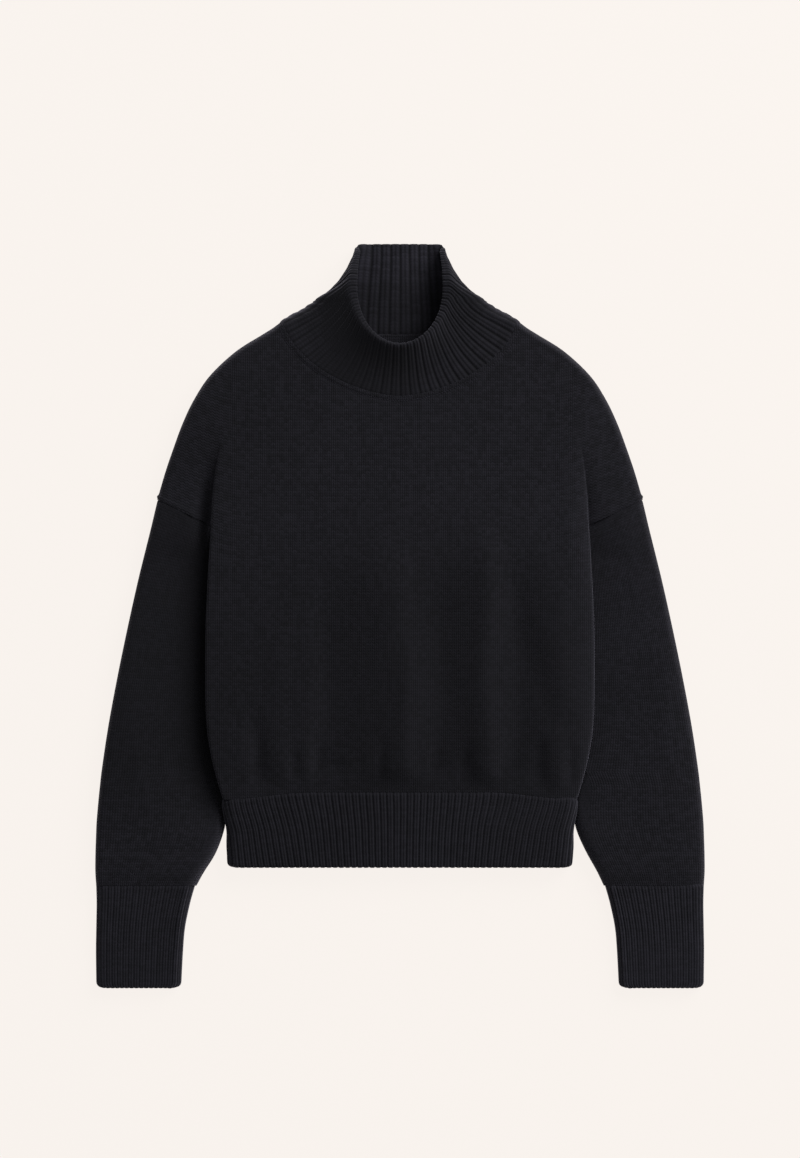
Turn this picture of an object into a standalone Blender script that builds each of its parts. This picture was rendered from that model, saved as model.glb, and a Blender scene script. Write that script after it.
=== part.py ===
"""A turtleneck sweater laid flat on its back, with its sleeves folded down beside the body.

Lengths in the tables are millimetres. The sweater lies on the plane z = 0 with its collar
towards +Y and its front facing +Z. It is symmetric about x = 0, apart from its soft creases.
"""

import math

import bpy
import numpy as np

MM = 0.001

# knitted cloth
WALL = 3.0
SEAM_GAP = 0.3

# a panel's wall is cut level along a border that is steeper than this, and upright elsewhere
LEVEL_EDGE_BELOW = 0.9

# heights above the surface that the sweater lies on, all to the outside of the cloth
BODY_HEIGHT = 28.0
ARM_HEIGHT = 20.0
SHOULDER_SEAM_HEIGHT = 8.0
SIDE_SEAM_HEIGHT = 15.0
TUCKED_SLEEVE_HEIGHT = 7.0
TUCK_CLEARANCE = 1.4
HEM_HEIGHT = 22.0

# radii of the soft edges
SHOULDER_ROUND = 20.0
SIDE_ROUND = 11.0
UNDER_ROUND = 8.0
VALLEY_WIDTH = 32.0
SLEEVE_FALL = 62.0

# shoulder line, from the top of the armhole seam up to the neck
SHOULDER_LINE = [
    # x, y
    (255.0, 121.8),
    (246.4, 151.2),
    (237.8, 176.4),
    (228.4, 201.6),
    (216.3, 226.8),
    (199.5, 252.0),
    (173.3, 277.2),
    (147.0, 295.0),
    (122.0, 310.8),
]

# side fold of the body, from where it leaves the shoulder down to the hem rib
FOLD_TOP = (185.0, 192.0)
UNDERARM = (198.2, 94.5)
FOLD_LINE = [FOLD_TOP, (191.5, 163.0), (196.3, 126.0), UNDERARM]
SIDE_LINE = [
    UNDERARM,
    (200.5, 58.8),
    (203.6, -4.2),
    (204.2, -60.0),
    (203.0, -112.0),
    (197.5, -150.0),
    (188.5, -184.0),
    (185.6, -192.5),
]

# line inside each panel, from the side fold to the neckline, where its shoulder part begins
YOKE_LINE = [FOLD_TOP, (172.0, 219.0), (151.0, 243.0)]
YOKE_LENGTH = 134.0
YOKE_AT = 0.24
EDGE_STEPS = [2.5, 5.0, 8.5]

# neckline, a flattened half ellipse on the front and a shallow one on the back
NECK_HALF_WIDTH = 122.0
NECK_SIDE_Y = 310.8
FRONT_NECK_DEPTH = 81.0
BACK_NECK_DEPTH = 15.0
NECK_EXPONENT = 1.7

# hem rib
HEM_TOP_CENTRE_Y = -184.8
HEM_TOP_SIDE_Y = -192.5
HEM_BOTTOM_Y = -262.8
HEM_TOP_HALF_WIDTH = 185.0
HEM_BOTTOM_HALF_WIDTH = 180.4
HEM_RIBS = 56

# sleeve edges, from the armhole seam down to the cuff
SLEEVE_SECTIONS = [
    # outer x, outer y, inner x, inner y, height
    (254.8, 120.9, 198.9, 93.6, 20.0),
    (258.2, 106.5, 194.0, 80.5, 20.0),
    (262.6, 88.0, 184.0, 62.0, 20.0),
    (275.0, 37.8, 168.0, 22.0, 20.5),
    (286.2, -12.6, 160.0, -22.0, 21.0),
    (296.6, -63.0, 158.0, -68.0, 21.5),
    (306.0, -113.4, 163.0, -116.0, 21.5),
    (312.8, -158.0, 177.0, -156.0, 21.0),
    (315.4, -180.0, 190.6, -178.0, 20.8),
    (318.6, -214.2, 187.0, -214.2, 20.5),
    (320.0, -245.0, 194.5, -245.0, 20.0),
    (320.2, -268.0, 206.5, -268.0, 19.0),
    (319.4, -283.6, 214.0, -283.6, 16.0),
]

# cuffs
CUFF_SECTIONS = [
    # y, outer x, inner x, height
    (-283.9, 319.2, 215.4, 15.5),
    (-302.4, 318.8, 220.6, 15.0),
    (-327.6, 319.2, 225.8, 14.5),
    (-352.8, 319.6, 228.0, 14.0),
    (-390.6, 319.2, 230.0, 13.0),
]
CUFF_RIBS = 16

# collar: ribs counted round it, and where they lie at its foot and at its rim
COLLAR_RIBS = 50
COLLAR_FRONT_RIBS = 29
COLLAR_MOUTH_RIBS = 42
COLLAR_TOP_Y = 390.6
MOUTH_HALF_WIDTH = 43.5
MOUTH_TOP_HALF_WIDTH = 39.5
MOUTH_WIDEST_Y = 342.0
MOUTH_DEPTH = 57.0
RIM_HEIGHT = 43.0
RIM_SIDE_HEIGHT = 37.0
CORNER_HEIGHT = 9.0
CREST_OUT_FRONT = 3.5
CREST_OUT_SIDE = 7.0
CREST_LIFT = 2.0
COLLAR_SIDE_LEAN = 58.0
SIDE_TIGHTNESS = 0.7
BACK_NARROWING = 2.0
COLLAR_ROWS = (0.0, 0.22, 0.48, 0.75, 1.0)
CORNER_THINNING = 1.6

RIB_RELIEF = {"collar": 1.5, "hem": 1.1, "cuff": 1.1}

# soft creases that run down the front; a negative rise is a trough
CREASES = [
    # x, top y, bottom y, width on its left, width on its right, rise
    (-2.0, 96.0, -196.0, 34.0, 17.0, 4.0),
    (88.0, 116.0, -190.0, 20.0, 16.0, 3.5),
    (166.0, 80.0, -196.0, 22.0, 12.0, 1.5),
    (-124.0, 10.0, -190.0, 14.0, 12.0, 1.2),
    (-76.0, 70.0, -175.0, 15.0, 26.0, -2.6),
    (43.0, 70.0, -180.0, 16.0, 16.0, -1.5),
    (124.0, 80.0, -190.0, 14.0, 16.0, -1.8),
    (-150.0, -84.0, -198.0, 9.0, 9.0, -2.2),
    (-84.0, -105.0, -198.0, 8.0, 7.0, -1.6),
    (36.0, -108.0, -198.0, 8.0, 8.0, -1.3),
    (148.0, -104.0, -198.0, 9.0, 8.0, -2.2),
]

KNIT_COLOUR = (0.0105, 0.0098, 0.0130, 1.0)
RIB_COLOUR = (0.0085, 0.0078, 0.0108, 1.0)


def clear_scene():
    for item in list(bpy.data.objects):
        bpy.data.objects.remove(item, do_unlink=True)


def ease(t):
    t = np.clip(t, 0.0, 1.0)
    return t * t * (3.0 - 2.0 * t)


def quarter_round(t):
    """Height of a quarter circle, from 0 with an upright tangent to 1 with a level one."""
    t = np.clip(t, 0.0, 1.0)
    return np.sqrt(1.0 - (1.0 - t) ** 2)


def lengths_along(points):
    steps = np.linalg.norm(np.diff(points, axis=0), axis=1)
    return np.concatenate([[0.0], np.cumsum(steps)])


def at_fractions(points, fractions):
    """Points at the given fractions of a polyline's length."""
    points = np.asarray(points, float)
    run = lengths_along(points)
    run /= run[-1]
    return np.stack([np.interp(fractions, run, column) for column in points.T], axis=1)


def smooth_curve(points, per_span=12):
    """A Catmull-Rom curve through the points."""
    p = np.asarray(points, float)
    p = np.vstack([2 * p[0] - p[1], p, 2 * p[-1] - p[-2]])
    t = np.linspace(0.0, 1.0, per_span, endpoint=False)[:, None]
    spans = []
    for a, b, c, d in zip(p[:-3], p[1:-2], p[2:-1], p[3:]):
        spans.append(b + 0.5 * t * (c - a + t * (2 * a - 5 * b + 4 * c - d + t * (3 * (b - c) + d - a))))
    return np.vstack(spans + [p[-2:-1]])


def distance_to(points, line):
    """Distance of each plan point from a polyline."""
    points = np.asarray(points, float)[..., :2]
    start, step = line[:-1], np.diff(line, axis=0)
    offset = points[..., None, :] - start
    along = np.clip((offset * step).sum(-1) / (step ** 2).sum(-1), 0.0, 1.0)
    return np.linalg.norm(offset - along[..., None] * step, axis=-1).min(-1)


def fractions_from(lengths):
    run = np.concatenate([[0.0], np.cumsum(lengths)])
    return run / run[-1]


def neckline(depth, fractions, inset=0.0):
    """Half of the neckline, from the neck's side to its centre."""
    angle = np.linspace(0.0, math.pi / 2, 60)
    power = 2.0 / NECK_EXPONENT
    x = (NECK_HALF_WIDTH - inset) * np.cos(angle) ** power
    y = NECK_SIDE_Y - (depth - inset) * np.sin(angle) ** power
    return at_fractions(np.stack([x, y], axis=1), fractions)


SHOULDER = smooth_curve(SHOULDER_LINE)
BODY_EDGE = smooth_curve(FOLD_LINE + SIDE_LINE[1:])


def crease_rise(x, y):
    rise = np.zeros_like(x)
    for centre, top, bottom, left, right, high in CREASES:
        offset = x - centre - 2.5 * np.sin(y / 31.0 + centre)
        across = np.exp(-(offset / np.where(offset < 0, left, right)) ** 2)
        fade = min(70.0, (top - bottom) / 2)
        along = ease((top - y) / fade) * ease((y - bottom) / (0.25 * fade))
        rise += high * across * along
    band_rise = (HEM_TOP_CENTRE_Y - HEM_TOP_SIDE_Y) * ease(2 - 2 * np.abs(x) / HEM_TOP_HALF_WIDTH)
    return rise * ease((y - HEM_TOP_SIDE_Y - band_rise - 1.0) / 16.0)


def beyond_fold(x, y):
    """How far a plan point lies outside the body's side fold, negative on the body."""
    return np.abs(x) - np.interp(-y, -BODY_EDGE[:, 1], BODY_EDGE[:, 0])


def crown_height(x, y):
    """Height of the upper cloth before folds and edges: a low dome that steps down to the arm."""
    out = beyond_fold(x, y)
    dome = 1.5 * ease((200.0 - np.abs(y + 20.0)) / 150.0) * ease((170.0 - np.abs(x)) / 150.0)
    waist = (BODY_HEIGHT - HEM_HEIGHT - 1.0) * ease((-166.0 - y) / 24.0)
    body = BODY_HEIGHT + dome - waist + crease_rise(x, y)
    on_arm = ease((out + 12.0) / 45.0) * ease((240.0 - y) / 110.0)
    return body + (ARM_HEIGHT - body) * on_arm


def front_height(x, y):
    out = beyond_fold(x, y)
    crown = crown_height(x, y)
    folded = ease((FOLD_TOP[1] - y) / (FOLD_TOP[1] - UNDERARM[1]))
    near = np.where(out < 0, 1 - quarter_round(-out / SIDE_ROUND), 1 - ease(out / VALLEY_WIDTH))
    height = crown - (crown - SIDE_SEAM_HEIGHT) * folded * near
    return rounded_shoulder(height, x, y, SHOULDER_SEAM_HEIGHT, SHOULDER_ROUND)


def sleeve_height(x, y):
    """Height of the sleeve's upper layer, which dives under the side of the body."""
    out = beyond_fold(x, y)
    crown = ARM_HEIGHT
    tucked = ease((UNDERARM[1] - y) / 40.0)
    free = ease((-190.0 - y) / 50.0)
    valley = SIDE_SEAM_HEIGHT + (TUCKED_SLEEVE_HEIGHT - SIDE_SEAM_HEIGHT) * tucked
    valley = valley + (crown - valley) * free
    gentle = 0.55 * np.clip(out / SLEEVE_FALL, 0.0, 1.0) + 0.45 * ease((out - 6.0) / 16.0)
    height = valley + (crown - valley) * gentle
    clear = np.maximum(ease(out / 8.0), free)
    return TUCKED_SLEEVE_HEIGHT + (height - TUCKED_SLEEVE_HEIGHT) * clear


def back_height(x, y):
    """Height of the back's underside: on the floor, but for its edges and the tucked sleeves."""
    out = beyond_fold(x, y)
    tuck = np.interp(-y, [-row[3] for row in SLEEVE_SECTIONS], [row[2] for row in SLEEVE_SECTIONS])
    lift = ease((np.abs(x) - tuck + 42.0) / 28.0)
    lift = lift * ease((UNDERARM[1] + 24.0 - y) / 26.0) * ease((y + 190.0) / 22.0)
    height = (TUCKED_SLEEVE_HEIGHT + TUCK_CLEARANCE) * lift
    side = (1 - quarter_round(-out / UNDER_ROUND)) * ease((UNDERARM[1] + 6.0 - y) / 12.0)
    height = height + (SIDE_SEAM_HEIGHT - SEAM_GAP - height) * side
    along = distance_to(np.stack([np.abs(x), y], axis=-1), SHOULDER)
    edge = 1 - quarter_round(along / UNDER_ROUND)
    return height + (SHOULDER_SEAM_HEIGHT - SEAM_GAP - height) * edge


def rounded_shoulder(height, x, y, foot, radius):
    out = distance_to(np.stack([np.abs(x), y], axis=-1), SHOULDER)
    return foot + (height - foot) * quarter_round(out / radius)


def blend_patch(top, bottom, outer, inner):
    """Fill a four-sided plan region from its edges, row by row."""
    def share(first, second):
        one, two = lengths_along(first), lengths_along(second)
        return 0.5 * (one / one[-1] + two / two[-1])
    u = share(top, bottom)[None, :, None]
    v = share(outer, inner)[:, None, None]
    straight = (1 - u) * outer[:, None] + u * inner[:, None]
    crossed = (1 - v) * top[None] + v * bottom[None]
    corners = (1 - v) * ((1 - u) * top[0] + u * top[-1]) + v * ((1 - u) * bottom[0] + u * bottom[-1])
    return straight + crossed - corners


def panel_plan(neck_depth, detail):
    """Plan grids of half a panel: the shoulder part and the body part."""
    fold_rows, side_rows, yoke_columns, neck_columns, shoulder_rows = detail
    rest = (YOKE_LENGTH - sum(EDGE_STEPS)) / (yoke_columns - 3)
    edge_steps = EDGE_STEPS + [rest] * (yoke_columns - 3)
    yoke_top = neckline(neck_depth, np.array([YOKE_AT]))[0]
    near_top = 0.4 * np.array(YOKE_LINE[-1]) + 0.6 * yoke_top
    yoke = smooth_curve(YOKE_LINE + [tuple(near_top), tuple(yoke_top)])
    yoke = at_fractions(yoke, fractions_from(edge_steps))
    fold = at_fractions(smooth_curve(FOLD_LINE), np.linspace(1.0, 0.0, fold_rows + 1))
    lower_edge = np.vstack([fold, yoke[1:]])

    down = fractions_from([2, 4, 8, 12] + [16] * (shoulder_rows - 4))
    seam = at_fractions(np.array([SHOULDER[0], fold[0]]), down)
    run = lengths_along(lower_edge)
    shoulder = at_fractions(SHOULDER, run / run[-1])
    neck_side = neckline(neck_depth, YOKE_AT * down)
    upper = blend_patch(shoulder, lower_edge, seam, neck_side)

    neck = neckline(neck_depth, np.linspace(YOKE_AT, 1.0, neck_columns + 1))
    top = np.vstack([yoke, neck[1:]])
    side = at_fractions(smooth_curve(SIDE_LINE), np.linspace(0.0, 1.0, side_rows + 1))
    outer = np.vstack([fold[::-1], side[1:]])
    run = lengths_along(outer)
    drop = (run / run[-1])[:, None]
    inner = top[-1] + drop * (np.array([0.0, HEM_TOP_CENTRE_Y]) - top[-1])
    hem_x = HEM_TOP_HALF_WIDTH + 0.6
    lead = np.concatenate([[0.0], np.cumsum(edge_steps[:3])]) / hem_x
    spread = np.linspace(lead[-1], 1.0, len(top) - 3)
    share = np.concatenate([lead, spread[1:]])
    hem_y = HEM_TOP_SIDE_Y + (HEM_TOP_CENTRE_Y - HEM_TOP_SIDE_Y) * ease(share / 0.5)
    bottom = np.stack([hem_x * (1 - share), hem_y], axis=1)
    lower = blend_patch(top, bottom, outer, inner)
    return upper, lower


def add_grid(points, vertices, faces, closed=False, flip=False):
    """Append a grid of points as quads; a closed grid's rows are rings."""
    rows, columns = points.shape[:2]
    first = len(vertices)
    vertices.extend(map(tuple, points.reshape(-1, 3)))
    last = columns if closed else columns - 1
    for r in range(rows - 1):
        for c in range(last):
            a = first + r * columns + c
            b = first + r * columns + (c + 1) % columns
            quad = (a, b, b + columns, a + columns)
            faces.append(quad[::-1] if flip else quad)


def weld(vertices, faces, distance=0.02):
    """Merge points that coincide."""
    keys, index, merged = {}, [], []
    for vertex in vertices:
        key = tuple(round(value / distance) for value in vertex)
        if key not in keys:
            keys[key] = len(merged)
            merged.append(vertex)
        index.append(keys[key])
    kept = []
    for face in faces:
        face = [index[i] for i in face]
        face = [i for n, i in enumerate(face) if i != face[n - 1]]
        if len(face) > 2:
            kept.append(tuple(face))
    return np.array(merged), kept


def point_normals(vertices, faces):
    normals = np.zeros_like(vertices)
    for face in faces:
        corners = vertices[list(face)]
        area = np.zeros(3)
        for n in range(1, len(face) - 1):
            area += np.cross(corners[n] - corners[0], corners[n + 1] - corners[0])
        for i in face:
            normals[i] += area
    return normals / np.linalg.norm(normals, axis=1)[:, None]


def thicken(vertices, faces, wall):
    """Give an open sheet, drawn on its outside, a wall that lies under it."""
    normals = point_normals(vertices, faces)
    count = len(vertices)
    edges = {(face[n - 1], i) for face in faces for n, i in enumerate(face)}
    border = [(a, b) for a, b in edges if (b, a) not in edges]
    for i in {i for edge in border for i in edge}:
        if abs(normals[i, 2]) < LEVEL_EDGE_BELOW:
            normals[i, 2] = 0.0
            normals[i] /= np.linalg.norm(normals[i])
        else:
            normals[i] = (0.0, 0.0, math.copysign(1.0, normals[i, 2]))
    solid = list(faces) + [tuple(i + count for i in face[::-1]) for face in faces]
    solid += [(b, a, a + count, b + count) for a, b in sorted(border)]
    return np.vstack([vertices, vertices - normals * wall]), solid


def fabric(name, colour):
    material = bpy.data.materials.new(name)
    material.use_nodes = True
    shader = material.node_tree.nodes["Principled BSDF"]
    shader.inputs["Base Color"].default_value = colour
    shader.inputs["Roughness"].default_value = 0.9
    shader.inputs["Metallic"].default_value = 0.0
    material.diffuse_color = colour
    return material


def add_part(name, vertices, faces, material):
    mesh = bpy.data.meshes.new(name)
    mesh.from_pydata([tuple(v * MM for v in vertex) for vertex in vertices], [], faces)
    mesh.update()
    part = bpy.data.objects.new(name, mesh)
    bpy.context.collection.objects.link(part)
    mesh.materials.append(material)
    mesh.shade_smooth()
    return part


def add_panel(name, plans, height, facing_up, material):
    vertices, faces = [], []
    for side in (1, -1):
        for plan in plans:
            x, y = side * plan[..., 0], plan[..., 1]
            grid = np.stack([x, y, height(x, y)], axis=-1)
            add_grid(grid, vertices, faces, flip=(side > 0) != facing_up)
    vertices, faces = weld(vertices, faces)
    return add_part(name, *thicken(vertices, faces, WALL), material)


def flat_ring(outer, inner, across, top, mids, rounds, inset):
    """One section of a tube that lies flat, from its outer edge over the top and back below.

    across holds the shares of the width for the top and for the bottom, top gives the height
    of the upper layer, and mids and rounds the height and the radius of the two edges.
    """
    outer, inner = np.asarray(outer, float), np.asarray(inner, float)
    width = np.linalg.norm(inner - outer)
    step = (inner - outer) / width
    top_share, bottom_share = across
    ring = []
    for share, upper in ((top_share, True), (bottom_share, False)):
        at = inset + share * (width - 2 * inset)
        plan = outer + at[:, None] * step
        near_outer = quarter_round((at - inset) / max(rounds[0] - inset, 0.6) * (1 if upper else 2))
        near_inner = quarter_round((width - inset - at) / max(rounds[1] - inset, 0.6) * (1 if upper else 2))
        level = top(plan[:, 0], plan[:, 1]) - inset if upper else np.full(len(at), inset)
        mid = mids[0] + (mids[1] - mids[0]) * ease(at / width)
        height = mid + (level - mid) * near_outer * near_inner
        ring.append(np.column_stack([plan, height]))
    return np.vstack([ring[0], ring[1][::-1][1:-1]])


def add_tube(name, outside, inside, material, flip):
    """A tube from matching rings on its outside and its inside."""
    vertices, faces = [], []
    add_grid(outside, vertices, faces, closed=True, flip=flip)
    add_grid(inside, vertices, faces, closed=True, flip=not flip)
    rows, columns = outside.shape[:2]
    shift = rows * columns
    for first, turned in ((0, flip), ((rows - 1) * columns, not flip)):
        for c in range(columns):
            a, b = first + c, first + (c + 1) % columns
            quad = (b, a, a + shift, b + shift)
            faces.append(quad[::-1] if turned else quad)
    return add_part(name, np.array(vertices), faces, material)


# shares of a sleeve's width: its visible part up to the body's edge, then what is tucked under
VISIBLE_SHARES = np.array([0.0, 0.015, 0.05, 0.11, 0.2, 0.35, 0.52, 0.68, 0.8, 0.89, 0.95])
TUCKED_SHARES = np.array([0.0, 0.35, 0.7, 0.9, 0.97, 1.0])
UNDER_SHARES = np.array([0.0, 0.03, 0.09, 0.3, 0.6, 0.91, 0.97, 1.0])


def sleeve_rings(inset):
    sections = np.array(SLEEVE_SECTIONS)
    rings = []
    for outer_x, outer_y, inner_x, inner_y, height in sections:
        way = np.linspace(0.0, 1.0, 101)
        out = beyond_fold(outer_x + (inner_x - outer_x) * way, outer_y + (inner_y - outer_y) * way)
        visible = min(np.interp(0.0, -out, way), 0.88)
        shares = np.concatenate([VISIBLE_SHARES * visible, visible + (1 - visible) * TUCKED_SHARES])
        free = float(ease((-190.0 - inner_y) / 45.0))
        mid = TUCKED_SLEEVE_HEIGHT / 2 + (height / 2 - TUCKED_SLEEVE_HEIGHT / 2) * free
        rounds = (SHOULDER_ROUND, 4.2 + 11.0 * free)
        foot = SHOULDER_SEAM_HEIGHT * height / ARM_HEIGHT
        rings.append(flat_ring((outer_x, outer_y), (inner_x, inner_y), (shares, UNDER_SHARES),
                               lambda x, y: sleeve_height(x, y) * height / ARM_HEIGHT,
                               (foot, mid), rounds, inset))
    return np.array(rings)


def mirrored(rings, side):
    return rings * np.array([side, 1.0, 1.0])


def rib_wave(shares, ribs):
    """Relief of the ribs: a low point and two high ones in each."""
    phase = (shares * ribs) % 1.0
    return np.where((phase > 0.2) & (phase < 0.8), 1.0, 0.0)


def rib_shares(ribs):
    return np.arange(3 * ribs + 1) / (3.0 * ribs)


def cuff_rings(inset):
    across = (rib_shares(CUFF_RIBS), UNDER_SHARES[1:-1])
    rings = []
    for y, outer_x, inner_x, height in CUFF_SECTIONS:
        ring = flat_ring((outer_x, y), (inner_x, y), (across[0], UNDER_SHARES),
                         lambda x, y: np.full_like(x, height), (height / 2, height / 2), (9.0, 9.0), inset)
        if inset == 0:
            count = len(across[0])
            edge = np.minimum(across[0], 1 - across[0])
            ring[:count, 2] += RIB_RELIEF["cuff"] * rib_wave(across[0], CUFF_RIBS) * ease(edge / 0.05)
        rings.append(ring)
    return np.array(rings)


def hem_rings(inset):
    shares = rib_shares(HEM_RIBS)
    rings = []
    for part_way in (0.0, 0.5, 1.0):
        half = HEM_TOP_HALF_WIDTH + (HEM_BOTTOM_HALF_WIDTH - HEM_TOP_HALF_WIDTH) * part_way
        height = HEM_HEIGHT - 2.0 * part_way
        ring = flat_ring((half, 0.0), (-half, 0.0), (shares, UNDER_SHARES),
                         lambda x, y: np.full_like(x, height), (height / 2, height / 2), (12.0, 12.0), inset)
        rise = (HEM_TOP_CENTRE_Y - HEM_TOP_SIDE_Y) * (1 - part_way) * ease(2 - 2 * np.abs(ring[:, 0]) / half)
        ring[:, 1] = HEM_TOP_SIDE_Y + (HEM_BOTTOM_Y - HEM_TOP_SIDE_Y) * part_way + rise - 2 * SEAM_GAP
        if inset == 0:
            edge = np.minimum(shares, 1 - shares)
            ring[:len(shares), 2] += RIB_RELIEF["hem"] * rib_wave(shares, HEM_RIBS) * ease(edge / 0.015)
        rings.append(ring)
    return np.array(rings)


def mouth_path():
    """Half of the collar's mouth seen from above, from the middle of its front to its back."""
    angle = np.linspace(0.0, math.pi / 2, 30)
    bowl = np.stack([MOUTH_HALF_WIDTH * np.sin(angle), MOUTH_WIDEST_Y - MOUTH_DEPTH * np.cos(angle)], axis=1)
    y = np.linspace(MOUTH_WIDEST_Y, COLLAR_TOP_Y - 4.0, 12)[1:]
    rise = (y - MOUTH_WIDEST_Y) / (y[-1] - MOUTH_WIDEST_Y)
    wall = np.stack([MOUTH_HALF_WIDTH - (MOUTH_HALF_WIDTH - MOUTH_TOP_HALF_WIDTH) * rise ** 2, y], axis=1)
    plan = np.vstack([bowl, wall])
    drop = ease((plan[:, 1] - MOUTH_WIDEST_Y + MOUTH_DEPTH) / MOUTH_DEPTH)
    height = RIM_HEIGHT - (RIM_HEIGHT - RIM_SIDE_HEIGHT) * drop
    fall = np.clip((plan[:, 1] - MOUTH_WIDEST_Y) / (COLLAR_TOP_Y - MOUTH_WIDEST_Y), 0.0, 1.0)
    return np.column_stack([plan, height * (1.0 - fall ** 1.6) + CORNER_HEIGHT * fall])


def collar_stations():
    """Foot, crest and rim of the collar at each point across its ribs, on its outside."""
    ribs = np.arange(3 * COLLAR_RIBS) / 3.0
    ribs = np.where(ribs > COLLAR_RIBS / 2, ribs - COLLAR_RIBS, ribs)
    side, count = np.where(ribs < 0, -1.0, 1.0), np.abs(ribs)
    front_half, mouth_half, half = COLLAR_FRONT_RIBS / 2, COLLAR_MOUTH_RIBS / 2, COLLAR_RIBS / 2

    on_front = count <= front_half
    front = neckline(FRONT_NECK_DEPTH, 1 - np.clip(count / front_half, 0, 1), 2 * SEAM_GAP)
    back = neckline(BACK_NECK_DEPTH, np.clip((count - front_half) / (half - front_half), 0, 1), 3 * SEAM_GAP)
    back = back + np.stack([-BACK_NARROWING * (back[:, 0] / NECK_HALF_WIDTH) ** 3, np.full(len(back), 1.4)], axis=1)
    foot = np.where(on_front[:, None], front, back)
    front_z = front_height(foot[:, 0], foot[:, 1])
    back_z = back_height(foot[:, 0], foot[:, 1])
    foot = np.column_stack([foot, np.where(on_front, front_z, back_z)])

    path = mouth_path()
    way = np.clip(count / mouth_half, 0.0, 1.0)
    path_points = at_fractions(path, way)
    ahead = at_fractions(path, np.minimum(way + 0.01, 1.0))
    behind = at_fractions(path, np.clip(way - 0.01, 0.0, 0.98))
    along = (ahead - behind)[:, :2]
    along /= np.linalg.norm(along, axis=1)[:, None]
    outward = np.stack([along[:, 1], -along[:, 0]], axis=1)

    on_top = ease((count - mouth_half + 1.2) / 2.4)
    top_x = MOUTH_TOP_HALF_WIDTH * np.clip((half - count) / (half - mouth_half), 0, 1.12)
    beside = ease(path_points[:, 1] / 40.0 - (MOUTH_WIDEST_Y - MOUTH_DEPTH) / 40.0)
    out = CREST_OUT_FRONT + (CREST_OUT_SIDE - CREST_OUT_FRONT) * beside
    out = out * (1 - 0.45 * ease((path_points[:, 1] - 362.0) / 26.0))
    rim_branch = path_points + np.column_stack([outward * 1.2, np.zeros(len(count))])
    crest_branch = path_points + np.column_stack([outward * out[:, None], np.full(len(count), CREST_LIFT)])
    rim_top = np.column_stack([top_x, np.full(len(count), COLLAR_TOP_Y), np.zeros(len(count))])
    crest_top = rim_top - np.array([0.0, 5.0, 0.0])
    rim = rim_branch + (rim_top - rim_branch) * on_top[:, None]
    crest = crest_branch + (crest_top - crest_branch) * on_top[:, None]

    back_way = ease((count - front_half + 2.0) / 4.0)[:, None]
    lean = math.radians(COLLAR_SIDE_LEAN) * np.sin(np.minimum(count / front_half, 1.0) * math.pi / 2)
    leave = np.stack([-np.sin(lean), np.cos(lean)], axis=1)
    leave = leave + (np.array([0.0, 1.0]) - leave) * back_way
    leave *= 1 - SIDE_TIGHTNESS * np.exp(-((count - front_half) / 3.0) ** 2)[:, None]
    arrive = -outward * 0.5 * (1 - on_top[:, None]) + np.array([0.0, 0.9])
    arrive /= np.linalg.norm(arrive, axis=1)[:, None]
    return count, side, foot, crest, rim, leave, arrive


def collar_rings():
    """Rings of the collar's outside, from its foot over its crest to its rim."""
    count, side, foot, crest, rim, leave, arrive = collar_stations()
    reach = np.linalg.norm((crest - foot)[:, :2], axis=1)[:, None] / 3.0
    first, second = foot[:, :2] + leave * reach, crest[:, :2] - arrive * reach
    power = 1.0 + 2.0 * ease((count - COLLAR_FRONT_RIBS / 2) / 4.0)
    rings = []
    for v in COLLAR_ROWS:
        plan = ((1 - v) ** 3 * foot[:, :2] + 3 * v * (1 - v) ** 2 * first
                + 3 * v * v * (1 - v) * second + v ** 3 * crest[:, :2])
        height = foot[:, 2] + (crest[:, 2] - foot[:, 2]) * v ** power
        rings.append(np.column_stack([plan, height]))
    rings.append(rim)
    rings = np.array(rings)
    rings[..., 0] *= side
    rings[..., 2] = np.maximum(rings[..., 2], 0.0)
    return rings, count


def make_collar(material):
    rings, count = collar_rings()
    vertices, faces = [], []
    add_grid(rings, vertices, faces, closed=True, flip=False)
    normals = point_normals(np.array(vertices), faces).reshape(rings.shape)
    wave = np.where(np.arange(3 * COLLAR_RIBS) % 3 == 0, 0.0, 1.0)
    fade = np.array([0.25] + [1.0] * (len(rings) - 2) + [0.6])[:, None]
    lifted = ease((rings[..., 2] - 3.0) / 6.0)
    relief = RIB_RELIEF["collar"] * fade * wave
    outside = rings + normals * (relief * lifted)[..., None]
    outside[..., 2] = np.maximum(outside[..., 2], 0.0)
    within = ease((count - COLLAR_MOUTH_RIBS / 2) / 1.5)
    corner = np.exp(-((count - COLLAR_MOUTH_RIBS / 2) / 2.4) ** 2)
    wall = WALL - CORNER_THINNING * corner
    inside = rings - normals * (wall + relief * within)[..., None]
    add_tube("collar", outside, inside, material, flip=False)


def make_panels(material):
    front = panel_plan(FRONT_NECK_DEPTH, (5, 12, 8, 7, 7))
    add_panel("front", front, front_height, True, material)
    back = panel_plan(BACK_NECK_DEPTH, (5, 10, 9, 6, 5))
    add_panel("back", back, back_height, False, material)


def make_sleeves(material):
    for name, side in (("sleeve_left", -1.0), ("sleeve_right", 1.0)):
        outside, inside = mirrored(sleeve_rings(0.0), side), mirrored(sleeve_rings(WALL), side)
        add_tube(name, outside, inside, material, flip=side < 0)


def make_ribs(material):
    for name, side in (("cuff_left", -1.0), ("cuff_right", 1.0)):
        outside, inside = mirrored(cuff_rings(0.0), side), mirrored(cuff_rings(WALL), side)
        add_tube(name, outside, inside, material, flip=side < 0)
    add_tube("hem_rib", hem_rings(0.0), hem_rings(WALL), material, flip=False)


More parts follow.
